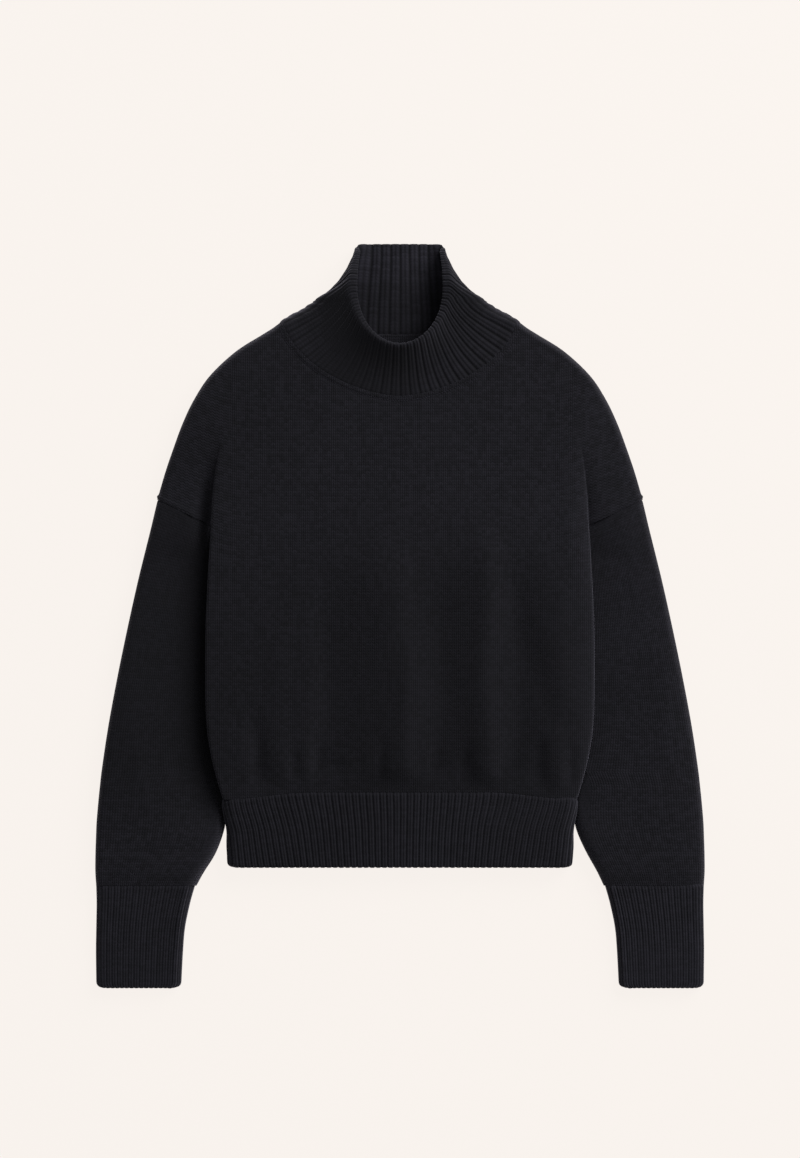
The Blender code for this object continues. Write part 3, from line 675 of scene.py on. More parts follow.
def makeTube(name, outside, inside, knit, material, side=1, attributes=None):
    # a tube from matching rings on its outside and its inside; knit holds u and v per ring point
    rows, columns = outside.shape[:2]
    mirror = np.array([side, 1.0, 1.0])
    flip = side < 0
    count = rows * columns
    vertices = np.vstack([(outside * mirror).reshape(-1, 3), (inside * mirror).reshape(-1, 3)])
    outer = gridFaces(rows, columns, closed=True, flip=flip)
    inner = gridFaces(rows, columns, closed=True, flip=not flip) + count
    # the map is one column wider than the ring, so that it doesn't jump back at the closing seam
    wide = gridFaces(rows, columns + 1, flip=flip)
    uv = knit.reshape(-1, 2)
    outerUv = uv[wide]
    innerUv = uv[gridFaces(rows, columns + 1, flip=not flip)]
    a = np.arange(columns)
    b = (a + 1) % columns
    rims, rimUv = [], []
    for first, turned in ((0, flip), ((rows - 1) * columns, not flip)):
        quad = np.stack([b + first, a + first, a + first + count, b + first + count], axis=1)
        rims.append(quad[:, ::-1] if turned else quad)
        row = knit[0 if first == 0 else rows - 1]
        two = np.stack([row[1:], row[:-1], row[:-1], row[1:]], axis=1)
        rimUv.append(two[:, ::-1] if turned else two)
    faces = np.vstack([outer, inner] + rims)
    cornerUv = np.vstack([outerUv, innerUv] + rimUv).reshape(-1, 2)
    return addMesh(name, vertices, faces, cornerUv, material, attributes)


def ringMap(rings):
    # u goes round by the middle row's lengths, v down the rows, in mm
    middle = rings[len(rings) // 2]
    around = runLengths(np.vstack([middle, middle[:1]]))
    down = np.mean(np.linalg.norm(np.diff(rings, axis=0), axis=-1), axis=1)
    down = np.concatenate([[0.0], np.cumsum(down)])
    u = np.broadcast_to(around, (len(rings), len(around)))
    v = np.broadcast_to(down[:, None], u.shape)
    return np.stack([u, v], axis=-1)


# ---- wool

yarn = {
    "light": "#26252C", "dark": "#0A0A0C",  # the lit top of a loop, and the hollow between loops
    "bumpDepth": 0.65,  # mm
    "sheen": 0.15, "haze": "#C9C6DA",
    "fibreScale": 700.0, "cloudScale": 7.0,  # per metre
    "fibre": 0.4, "cloud": 0.25, "streak": 0.1,  # how much each lightens and darkens it
}

# shares of painted light and shade on the front, of its darkening beside the neck band, and by which its
# courses are pulled straight
frontShadingAndPull = {
    "paintedShadeDownFront": 0.45,  # painted shade, darker down the front
    "linked": 0.3,  # darker along the line just outside the neck band
    "paintedLightUpperRight": 0.1,  # painted light at the upper right
    "pulled": 0.85, "pulledFromX": 172.0,
}

# mm from one loop to the next, across and down; the real ones are a third finer, too fine to show.
# legs and courses say how clearly the two legs of a loop and its rows are seen.
jerseyKnit = {"wale": 4.5, "course": 2.95, "legs": 0.36, "courses": 1.3, "uneven": 0.25, "base": -0.42}
ribKnit = {"wale": 6.5, "course": 2.95, "legs": 0.3, "courses": 0.6, "uneven": 0.14, "base": -0.345}


def woolFinish(shader):
    # matt, with a faint haze of fibre where the cloth turns away
    for name, value in (("Roughness", 0.95), ("Specular IOR Level", 0.12), ("Sheen Roughness", 0.5),
                        ("Sheen Weight", yarn["sheen"]), ("Sheen Tint", linear(yarn["haze"]))):
        shader.inputs[name].default_value = value


def readMark(tree, name):
    return addNode(tree, "ShaderNodeAttribute", attribute_name=name).outputs["Fac"]


def woolKnit(name, stitch, inRibs):
    # Carded lambswool, knitted: matt, with rows of small loops, each a little lighter or darker than the
    # next, and a faint haze of fibre where the cloth turns away. Painted shade lies in the hollows between
    # loops and in the rib grooves, and painted light and shade in places over the pieces.
    material = bpy.data.materials.new(name)
    material.use_nodes = True
    tree = material.node_tree
    shader = tree.nodes["Principled BSDF"]
    knit = addNode(tree, "ShaderNodeUVMap", uv_map="knitMap")
    split = addNode(tree, "ShaderNodeSeparateXYZ", {0: knit})
    waleCount = mathNode(tree, "DIVIDE", split.outputs["X"], stitch["wale"])
    # 0 between two wales and 1 on the middle of one, where the two legs of its loops meet
    middle = mathNode(tree, "PINGPONG", waleCount, 0.5)
    turn = mathNode(tree, "MULTIPLY", middle, 2 * math.pi)
    leg = mathNode(tree, "SINE", turn)
    courseCount = mathNode(tree, "DIVIDE", split.outputs["Y"], stitch["course"])
    slant = mathNode(tree, "SUBTRACT", courseCount, middle)
    row = mathNode(tree, "PINGPONG", slant, 0.5)
    row = mathNode(tree, "MULTIPLY_ADD", row, stitch["courses"], 0.7 - 0.25 * stitch["courses"])
    # where the cloth is pulled along its courses, they show more and the wales less
    pulled = readMark(tree, "pulled")
    legGap = mathNode(tree, "SUBTRACT", 0.64, leg)
    leg = mathNode(tree, "MULTIPLY_ADD", legGap, pulled, leg)
    rowGap = mathNode(tree, "SUBTRACT", row, 0.7)
    row = mathNode(tree, "MULTIPLY_ADD", rowGap, pulled, row)
    loop = mathNode(tree, "MULTIPLY", leg, row)
    loopNumber = addNode(tree, "ShaderNodeCombineXYZ", {
        0: mathNode(tree, "FLOOR", waleCount),
        1: mathNode(tree, "FLOOR", slant)})
    uneven = addNode(tree, "ShaderNodeTexWhiteNoise", {"Vector": loopNumber}, noise_dimensions="2D")

    place = addNode(tree, "ShaderNodeTexCoord").outputs["Object"]
    fibre = addNode(tree, "ShaderNodeTexNoise", {
        "Vector": place, "Scale": yarn["fibreScale"], "Detail": 3.0, "Roughness": 0.7})
    cloud = addNode(tree, "ShaderNodeTexNoise", {
        "Vector": place, "Scale": yarn["cloudScale"], "Detail": 1.0})
    # the spun yarn is thicker and thinner, so that whole wales and courses look lighter or darker
    streaks = []
    for across, down in ((1.0, 0.08), (0.06, 1.0)):
        strand = addNode(tree, "ShaderNodeCombineXYZ", {
            0: mathNode(tree, "MULTIPLY", waleCount, across),
            1: mathNode(tree, "MULTIPLY", courseCount, down)})
        streaks.append(addNode(tree, "ShaderNodeTexNoise", {"Scale": 1.0, "Detail": 1.0, "Vector": strand},
                               noise_dimensions="2D"))
    # painted light on the tops of the loops and painted shade between them
    tint = mathNode(tree, "MULTIPLY_ADD", loop, stitch["legs"], stitch["base"])
    for layer, amount in ((uneven, stitch["uneven"]), (fibre, yarn["fibre"]), (cloud, yarn["cloud"]),
                          (streaks[0], yarn["streak"]), (streaks[1], yarn["streak"])):
        tint = mathNode(tree, "MULTIPLY_ADD", layer, amount, tint)
    # painted shade in the rib grooves
    if inRibs:
        shade = mathNode(tree, "MULTIPLY_ADD", readMark(tree, "hollow"), -0.8, 1.3)
        tint = mathNode(tree, "MULTIPLY", tint, shade)
    # painted light and shade in places, and a plain tone shift on some pieces
    tint = mathNode(tree, "MULTIPLY_ADD", tint, readMark(tree, "paintedLightAndTone"), tint)
    colour = addNode(tree, "ShaderNodeMix", {0: tint, 6: linear(yarn["dark"]), 7: linear(yarn["light"])},
                     data_type="RGBA", clamp_factor=True)
    tree.links.new(colour.outputs[2], shader.inputs["Base Color"])
    height = mathNode(tree, "MULTIPLY_ADD", fibre, 0.4, loop)
    bump = addNode(tree, "ShaderNodeBump", {
        "Height": height, "Distance": yarn["bumpDepth"] * mm, "Strength": 0.8})
    tree.links.new(bump.outputs["Normal"], shader.inputs["Normal"])
    woolFinish(shader)
    return material


jersey = woolKnit("lambswoolJersey", jerseyKnit, False)
ribbing = woolKnit("lambswoolRib", ribKnit, True)
print("sweater: wool mixed")


# ---- ribs, raised by geometry nodes

ribLook = {
    "collarRelief": 0.9, "hemRelief": 1.4, "cuffRelief": 1.0,  # mm from groove to ridge
    "grooveStart": 0.5,  # where a ridge starts to fall, 0 on its middle and 1 in the groove
    # mm that the line between a rib's two wales is sunk
    "collarCentre": 0.1, "hemCentre": 0.35, "cuffCentre": 0.4,
    "collarShade": 1.1, "hemShade": 0.5, "cuffShade": 0.35,  # how much shade is painted into the grooves
    "wander": 0.4,  # mm that a rib's height comes and goes
    "swayScale": 26.0, "wanderScale": 60.0,  # per metre
    "sway": 0.22,  # how far a rib strays to its side, as a share of a rib
    "uneven": 0.2,  # how much ribs differ in height, as a share
}


def newTree(name, floats, material):
    # a geometry tree with its named inputs
    tree = bpy.data.node_groups.new(name, "GeometryNodeTree")
    kinds = [("Geometry", "Geometry")] + [(label, "Float") for label in floats] + [(material, "Material")]
    for label, kind in kinds:
        tree.interface.new_socket(label, in_out="INPUT", socket_type="NodeSocket" + kind)
    tree.interface.new_socket("Geometry", in_out="OUTPUT", socket_type="NodeSocketGeometry")
    return tree, addNode(tree, "NodeGroupInput").outputs


def endTree(tree, geometry, material):
    real = addNode(tree, "GeometryNodeRealizeInstances", {"Geometry": geometry})
    dressed = addNode(tree, "GeometryNodeSetMaterial", {"Geometry": real, "Material": material})
    addNode(tree, "NodeGroupOutput", {"Geometry": dressed})
    return tree


def ribTree():
    tree, start = newTree("ribRelief", ("Relief", "Groove Start", "Centre Line", "Wander", "Sway", "Uneven",
                                        "Shade"), "Wool")
    count, strength, share = [
        addNode(tree, "GeometryNodeInputNamedAttribute", {"Name": name}, data_type="FLOAT")
        for name in ("ribCount", "ribStrength", "ribCentre")]
    stray = addNode(tree, "ShaderNodeTexNoise", {"W": 3.0, "Scale": ribLook["swayScale"], "Detail": 1.0},
                    noise_dimensions="4D")
    stray = mathNode(tree, "SUBTRACT", stray, 0.5)
    count = mathNode(tree, "MULTIPLY_ADD", stray, start["Sway"], count)
    # 0 in the groove and 1 on the middle of a rib, turned to 1 in the groove
    ridgeWay = mathNode(tree, "PINGPONG", count, 0.5)
    fromMiddle = mathNode(tree, "MULTIPLY_ADD", ridgeWay, -2.0, 1.0)
    ridge = addNode(tree, "ShaderNodeMapRange", {
        "Value": fromMiddle, "From Min": start["Groove Start"], "From Max": 1.0,
        "To Min": 1.0, "To Max": 0.0},
        interpolation_type="SMOOTHSTEP")
    crown = mathNode(tree, "MULTIPLY", fromMiddle, fromMiddle)
    crown = mathNode(tree, "MULTIPLY_ADD", crown, -0.25, 1.0)
    line = addNode(tree, "ShaderNodeMapRange", {
        "Value": fromMiddle, "From Min": 0.05, "From Max": 0.42, "To Min": 1.0, "To Max": 0.0},
        interpolation_type="SMOOTHSTEP")
    noise = addNode(tree, "ShaderNodeTexNoise", {"W": 7.0, "Scale": ribLook["wanderScale"], "Detail": 2.0},
                    noise_dimensions="4D")
    loose = mathNode(tree, "SUBTRACT", noise, 0.5)
    loose = mathNode(tree, "MULTIPLY_ADD", loose, start["Wander"], start["Relief"])
    ribNumber = mathNode(tree, "FLOOR", count)
    ownHeight = addNode(tree, "ShaderNodeTexWhiteNoise", {"W": ribNumber}, noise_dimensions="1D")
    ownHeight = mathNode(tree, "SUBTRACT", ownHeight, 0.5)
    ownHeight = mathNode(tree, "MULTIPLY_ADD", ownHeight, start["Uneven"], 1.0)
    crown = mathNode(tree, "MULTIPLY", crown, ownHeight)
    height = mathNode(tree, "MULTIPLY", ridge, crown)
    height = mathNode(tree, "MULTIPLY", height, loose)
    line = mathNode(tree, "MULTIPLY", line, share)
    sunk = mathNode(tree, "MULTIPLY", line, start["Centre Line"])
    height = mathNode(tree, "SUBTRACT", height, sunk)
    height = mathNode(tree, "MULTIPLY", height, strength)
    shift = addNode(tree, "ShaderNodeVectorMath", {"Vector": addNode(tree, "GeometryNodeInputNormal"),
                                                   "Scale": height}, operation="SCALE")
    moved = addNode(tree, "GeometryNodeSetPosition", {"Geometry": start["Geometry"], "Offset": shift})
    # where shade is painted into the wool's colour: the grooves, and a little on the line between a rib's
    # two wales
    hollow = mathNode(tree, "SUBTRACT", 1.0, ridge)
    hollow = mathNode(tree, "MULTIPLY_ADD", line, 0.12, hollow)
    hollow = mathNode(tree, "MULTIPLY", hollow, strength)
    hollow = mathNode(tree, "MULTIPLY", hollow, start["Shade"])
    marked = addNode(tree, "GeometryNodeStoreNamedAttribute", {
        "Geometry": moved, "Name": "hollow", "Value": hollow}, data_type="FLOAT", domain="POINT")
    return endTree(tree, marked, start["Wool"])


def applyTree(piece, tree, values):
    # sets the modifier's inputs by identifier, and swaps the mesh for the evaluated one
    modifier = piece.modifiers.new(tree.name, "NODES")
    modifier.node_group = tree
    for item in tree.interface.items_tree:
        if item.in_out == "INPUT" and item.name in values:
            modifier[item.identifier] = values[item.name]
    depsgraph = bpy.context.evaluated_depsgraph_get()
    mesh = bpy.data.meshes.new_from_object(piece.evaluated_get(depsgraph))
    piece.modifiers.remove(modifier)
    old = piece.data
    piece.data = mesh
    bpy.data.meshes.remove(old)
    mesh.name = piece.name
    for name in ("ribCount", "ribStrength", "ribCentre"):
        if name in mesh.attributes:
            mesh.attributes.remove(mesh.attributes[name])


ribRelief = ribTree()


def raiseRibs(piece, band):
    applyTree(piece, ribRelief, {
        "Relief": ribLook[band + "Relief"] * mm, "Groove Start": ribLook["grooveStart"],
        "Centre Line": ribLook[band + "Centre"] * mm, "Wander": ribLook["wander"] * mm,
        "Sway": ribLook["sway"], "Uneven": ribLook["uneven"], "Shade": ribLook[band + "Shade"],
        "Wool": ribbing})


def ribMarks(count, strength, paintedLightAndTone, insideCount, insideStrength, insideCentre):
    # what the ribs and the wool read, first on the outside of a band and then on its inside
    return {"ribCount": np.concatenate([count.ravel(), insideCount.ravel()]),
            "ribStrength": np.concatenate([strength.ravel(), insideStrength.ravel()]),
            "ribCentre": np.repeat([1.0, insideCentre], count.size),
            "paintedLightAndTone": paintedLightAndTone}


def ribMap(rings, count):
    # as ringMap, with one wale to a rib, so that its two legs run along the rib's sides
    knit = ringMap(rings)
    knit[..., 0] = count * ribKnit["wale"]
    return knit


# ---- front and back

seamLook = {
    "ridge": 0.6, "ridgeAt": 3.2, "ridgeWidth": 1.6,  # mm, on the shoulder side of the armhole
    "neckBand": 4.8, "neckBandRise": 0.7, "neckGroove": 0.4,
    # the loops that link the collar to the front
    "stitchEvery": 2.9, "stitchLong": 2.2, "stitchThick": 1.0, "stitchColour": "#1B1A20",
    "notch": 1.2, "notchX": 244.0,  # the armhole's ridge stands out more at the outline
}


def fromNeckline(vertices):
    edge = neckline(neckShape["frontDepth"], np.linspace(0.0, 1.0, 80))
    return distanceTo(rightHalf(vertices[:, 0], vertices[:, 1]), edge)


def frontRelief(vertices):
    plan = rightHalf(vertices[:, 0], vertices[:, 1])
    seam = np.array([bodyShape["shoulderLine"][0], bodyShape["sideLine"][0]])
    away = distanceTo(plan, seam)
    ridge = seamLook["ridge"] * np.exp(-((away - seamLook["ridgeAt"]) / seamLook["ridgeWidth"]) ** 2)
    ridge = ridge * (plan[:, 0] > seam[1, 0] - 3.0) * (plan[:, 1] > seam[1, 1] - 2.0)
    ridge = ridge * (1 + seamLook["notch"] * ease((plan[:, 0] - seamLook["notchX"]) / 6.0))
    fromNeck = fromNeckline(vertices)
    band = seamLook["neckBandRise"] * (1 - ease((fromNeck - seamLook["neckBand"] + 1.2) / 1.6))
    groove = seamLook["neckGroove"] * np.exp(-((fromNeck - seamLook["neckBand"] - 0.6) / 1.0) ** 2)
    return ridge + band - groove


def frontPaintedLightAndTone(vertices):
    # painted light at the upper right, painted shade down the front and more on its left, and darker along
    # the line outside the neck band
    x, y = vertices[:, 0], vertices[:, 1]
    paintedShadeDownFront = frontShadingAndPull["paintedShadeDownFront"] * ease((170.0 - y) / 230.0) * (0.5 + 0.5 * ease((x + 130.0) / 130.0))
    linked = np.exp(-((fromNeckline(vertices) - seamLook["neckBand"] - 0.5) / 0.8) ** 2)
    paintedLightUpperRight = frontShadingAndPull["paintedLightUpperRight"] * ease((x - 50.0) / 80.0) * ease((y - 20.0) / 80.0)
    return paintedLightUpperRight - paintedShadeDownFront - frontShadingAndPull["linked"] * linked


def makeBody():
    front = makePanel("frontPanel", panelPlan(neckShape["frontDepth"], (56, 84, 40, 36, 40)),
                      frontHeight, True, jersey, frontRelief, frontPaintedLightAndTone)
    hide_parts("front")
    back = makePanel("backPanel", panelPlan(neckShape["backDepth"], (24, 66, 30, 28, 30)),
                     backHeight, False, jersey)
    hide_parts("back")
    for piece in (front, back):
        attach(piece, "root")
    return front, back


frontPanel, backPanel = makeBody()
print("sweater: front and back done")


# ---- sleeves

sleeveLook = {
    "rows": 120, "visibleColumns": 60, "tuckedColumns": 16, "underColumns": 50,
    "tuck": 1.6,  # mm that it goes into the wall of the shoulder
}


def sleeveTop(lie, edge, scale):
    # its height as a function of x and y, falling towards its outer edge
    def top(x, y):
        fall = falling(np.hypot(x - edge[0], y - edge[1]) / bodyShape["rightShoulderFallWidth"])
        return (sleeveHeight(x, y, lie) - lie["fall"] * fall) * scale
    return top


def sleeveRings(inset, lie):
    # every ring has the same columns: the part in sight, the part under the body, and the underside
    way = bothEnds(sleeveLook["rows"] - 1, 0.2, 8)
    sections = atFractions(smoothCurve(sleeveSections), way)
    # the first ring lies inside the wall of the shoulder, and a groove runs where it comes out
    back = sections[0] - sections[1]
    tucked = sections[0] + back * (sleeveLook["tuck"] / np.linalg.norm(back[:2]))
    sections = np.vstack([tucked, sections])
    sunk = np.concatenate([[1.3, 0.2], 0.1 * np.exp(-np.arange(len(sections) - 2) * 0.9)])
    visibleShares = bothEnds(sleeveLook["visibleColumns"], 0.2, 8)
    tuckedShares = np.linspace(0.0, 1.0, sleeveLook["tuckedColumns"]) ** 2
    underShares = bothEnds(sleeveLook["underColumns"], 0.2, 8)
    rings = []
    for (outerX, outerY, innerX, innerY, height), low in zip(sections, sunk):
        innerX = innerX - lie["bulge"] * math.exp(-((innerY + 252.0) / 22.0) ** 2)
        line = np.linspace(0.0, 1.0, 201)
        out = beyondFold(outerX + (innerX - outerX) * line, outerY + (innerY - outerY) * line)
        visible = min(np.interp(0.0, -out, line), 0.88)
        shares = np.concatenate([visibleShares * visible, visible + (1 - visible) * tuckedShares[1:]])
        free = float(ease((-190.0 - innerY) / 45.0))
        mid = bodyShape["tuckedSleeveHeight"] / 2
        mid = mid + (height / 2 - mid) * free
        scale = height / bodyShape["armHeight"]
        foot = bodyShape["shoulderSeamHeight"] * scale
        rings.append(flatRing((outerX, outerY), (innerX, innerY), (shares, underShares),
                              sleeveTop(lie, (outerX, outerY), scale), (foot, mid),
                              (bodyShape["shoulderRound"], 4.2 + 9.0 * free), inset + low))
    return np.array(rings)


def sleevePaintedLightAndShade(x, y, lie):
    # painted light where it meets the cuff, painted shade beside the body, and painted shade over the left
    # sleeve (a touch of painted light over the right one)
    beside = np.exp(-((beyondFold(x, y) - lie["innerAt"]) / 13.0) ** 2) * ease((y + 240.0) / 60.0)
    end = ease((-200.0 - y) / 60.0)
    return lie["tone"] * ease((y + 240.0) / 100.0) + lie["endPaintedLight"] * end + lie["innerPaintedShade"] * beside


def makeSleeves():
    made = []
    for name, node, side in (("sleeveLeft", "sleeve_left", -1), ("sleeveRight", "sleeve_right", 1)):
        lie = sleeveLie[side]
        outside, inside = sleeveRings(0.0, lie), sleeveRings(cloth["wall"], lie)
        paintedLightAndTone = sleevePaintedLightAndShade(outside[..., 0], outside[..., 1], lie).ravel()
        piece = makeTube(name, outside, inside, ringMap(outside), jersey, side, {"paintedLightAndTone": np.tile(paintedLightAndTone, 2)})
        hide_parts(node)
        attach(piece, "root")
        made.append(piece)
    return made


sleeves = makeSleeves()
print("sweater: sleeves done")


# ---- cuffs and hem rib

def roundedCorner(toEdge, radius):
    # how far a band's side draws in near its lower corner
    near = np.clip(1.0 - toEdge / radius, 0.0, 1.0)
    return radius * (1.0 - np.sqrt(1.0 - near ** 2))


def bandFade(way, length, top=2.8, bottom=2.4):
    # ribs rise out of the plain cloth above, and flatten at the lower edge
    down = way * length
    return ease((down - 1.2) / top) * (0.45 + 0.55 * ease((length - down) / bottom))


def ribRidge(count):
    return 0.5 - 0.5 * np.cos(2 * math.pi * count)


def makeCuffs():
    perRib, ribs = cuffShape["columnsPerRib"], cuffShape["ribs"]
    shares = np.arange(perRib * ribs + 1) / (perRib * ribs)
    # the rib beside the seam on the inner side is wider
    shares = shares + cuffShape["wideRib"] * np.sin(math.pi * shares ** 3)
    shares = (shares - shares[0]) / (shares[-1] - shares[0])
    count = np.arange(2 * perRib * ribs) / perRib
    way = bothEnds(cuffShape["rows"], 0.3, 7)
    first, last = cuffShape["sections"][0, 0], cuffShape["sections"][-1, 0]
    length = first - last + cuffShape["topIn"]
    sections = smoothCurve(cuffShape["sections"])
    sides = []
    for inset in (0.0, cloth["wall"]):
        rings = []
        for down in way * length:
            y = first + cuffShape["topIn"] - down
            outerX, innerX, height = [np.interp(-y, -sections[:, 0], sections[:, k]) for k in (1, 2, 3)]
            corner = roundedCorner(length - down, cuffShape["corner"])
            sunk = 1.1 * (1 - ease((down - 0.4) / 2.2))
            ring = flatRing((outerX - corner, y), (innerX + corner, y), (shares, shares),
                            height + 0.3, (height / 2, height / 2), (9.0, 9.0), inset + sunk)
            ring[:, 1] -= 0.3 * ribRidge(count) * ease((down - length + 3.0) / 3.0)
            rings.append(ring)
        sides.append(np.array(rings))
    outside, inside = sides
    onTop = count <= ribs
    strength = bandFade(way, length)[:, None] * (1 - 0.35 * ease(way * 2 - 0.7)[:, None])
    # a plain strip and a full rib beside the seam on the inner side, a plainer rib at the outer edge
    beside = np.select([count > ribs - 1.1, count > ribs - 2.0, count < 1.0], [0.15, 2.0, 0.5], 1.0)
    strength = strength * np.where(onTop, beside, 1.0)[None]
    lift = cuffShape["underLift"] * (~onTop)[None, :, None] * np.array([0.0, 0.0, 1.0])
    outside, inside = outside + lift, inside + lift * 0.5
    ribCount = np.broadcast_to(count, strength.shape)
    paintedLightAndTone = cuffShape["paintedLightAndTone"] + 0.3 * onTop * (np.abs(count - ribs + 1.5) < 0.3)
    paintedLightAndTone = np.broadcast_to(paintedLightAndTone, strength.shape).ravel()
    made = []
    for name, node, side in (("cuffLeft", "cuff_left", -1), ("cuffRight", "cuff_right", 1)):
        knit = ribMap(outside, np.append(count, 2 * ribs))
        piece = makeTube(name, outside, inside, knit, ribbing, side,
                         ribMarks(ribCount, strength, np.tile(paintedLightAndTone, 2), ribCount + 0.5, strength * 0.3, 0.0))
        raiseRibs(piece, "cuff")
        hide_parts(node)
        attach(piece, "root")
        made.append(piece)
    return made


def hemHalf(fall):
    # the band flares where it meets the body
    return hemShape["bottomHalfWidth"] + hemShape["flare"] * (1 - ease(fall / 0.55))


def makeHem():
    perRib, ribs = hemShape["columnsPerRib"], hemShape["ribs"]
    shares = np.arange(perRib * ribs + 1) / (perRib * ribs)
    underShares = bothEnds(perRib * ribs // 2, 0.3, 8)
    way = bothEnds(hemShape["rows"], 0.3, 7)
    topIn = hemShape["topIn"]
    length = hemShape["topSideY"] - hemShape["bottomY"] + topIn
    sides = []
    for inset in (0.0, cloth["wall"]):
        rings = []
        for down in way * length:
            fall = np.clip((down - topIn) / (length - topIn), 0.0, 1.0)
            half = hemHalf(fall) - roundedCorner(length - down, hemShape["corner"])
            height = hemShape["height"] + 1.1 - (hemShape["drop"] + 1.3) * fall
            sunk = 0.9 * (1 - ease((down - 0.4) / 2.2))
            ring = flatRing((half, 0.0), (-half, 0.0), (shares, underShares),
                            height, (height / 2, height / 2), (12.0, 12.0), inset + sunk)
            ring[:, 1] = hemTop(ring[:, 0]) * (1 - fall) + hemShape["bottomY"] * fall - 0.6
            ring[:, 1] += max(topIn - down, 0.0)
            rings.append(ring)
        sides.append(np.array(rings))
    outside, inside = sides
    fall = np.clip((way * length - topIn) / (length - topIn), 0.0, 1.0)[:, None]
    u = outside[..., 0] / hemHalf(fall)
    lean = np.interp(np.abs(u), hemShape["leanAt"], hemShape["lean"]) * np.sign(u)
    count = ribs / 2 * (1 - u) + lean * (1 - fall) / (2 * hemShape["topHalfWidth"] / ribs)
    rounding = 0.3 * ease((way * length - length + 3.0) / 3.0)[:, None]
    for side in (outside, inside):
        side[..., 1] -= rounding * ribRidge(count)
    strength = bandFade(way, length)[:, None] * np.ones_like(u)
    under = (np.arange(outside.shape[1]) > perRib * ribs)[None, :, None]
    lift = hemShape["underLift"] * under * np.array([0.0, 0.0, 1.0])
    knit = ribMap(outside, np.hstack([count, count[:, :1]]))
    piece = makeTube("hemRib", outside + lift, inside + lift, knit, ribbing, 1,
                     ribMarks(count, strength, np.full(2 * count.size, hemShape["paintedLightAndTone"]),
                              count + 0.5, strength * 0.3, 0.0))
    raiseRibs(piece, "hem")
    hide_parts("hem_rib")
    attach(piece, "root")
    return piece


cuffs = makeCuffs()
hemRib = makeHem()
print("sweater: cuffs and hem rib done")


# ---- collar

def mouthPath():
    # half of the mouth seen from above, from the middle of its front round to its back
    widest, depth = collarShape["mouthWidestY"], collarShape["mouthDepth"]
    half, topHalf = collarShape["mouthHalfWidth"], collarShape["mouthTopHalfWidth"]
    angle = np.linspace(0.0, math.pi / 2, 60)
    bowl = np.stack([half * np.sin(angle), widest - depth * np.cos(angle)], axis=1)
    y = np.linspace(widest, collarShape["topY"] - 4.0, 24)[1:]
    rise = (y - widest) / (y[-1] - widest)
    wall = np.stack([half - (half - topHalf) * rise ** 2, y], axis=1)
    plan = np.vstack([bowl, wall])
    drop = ease((plan[:, 1] - widest + depth) / depth)
    height = collarShape["rimHeight"] - (collarShape["rimHeight"] - collarShape["rimSideHeight"]) * drop
    fall = np.clip((plan[:, 1] - widest) / (collarShape["topY"] - widest), 0.0, 1.0)
    return np.column_stack([plan, height * (1.0 - fall ** 1.6) + collarShape["cornerHeight"] * fall])


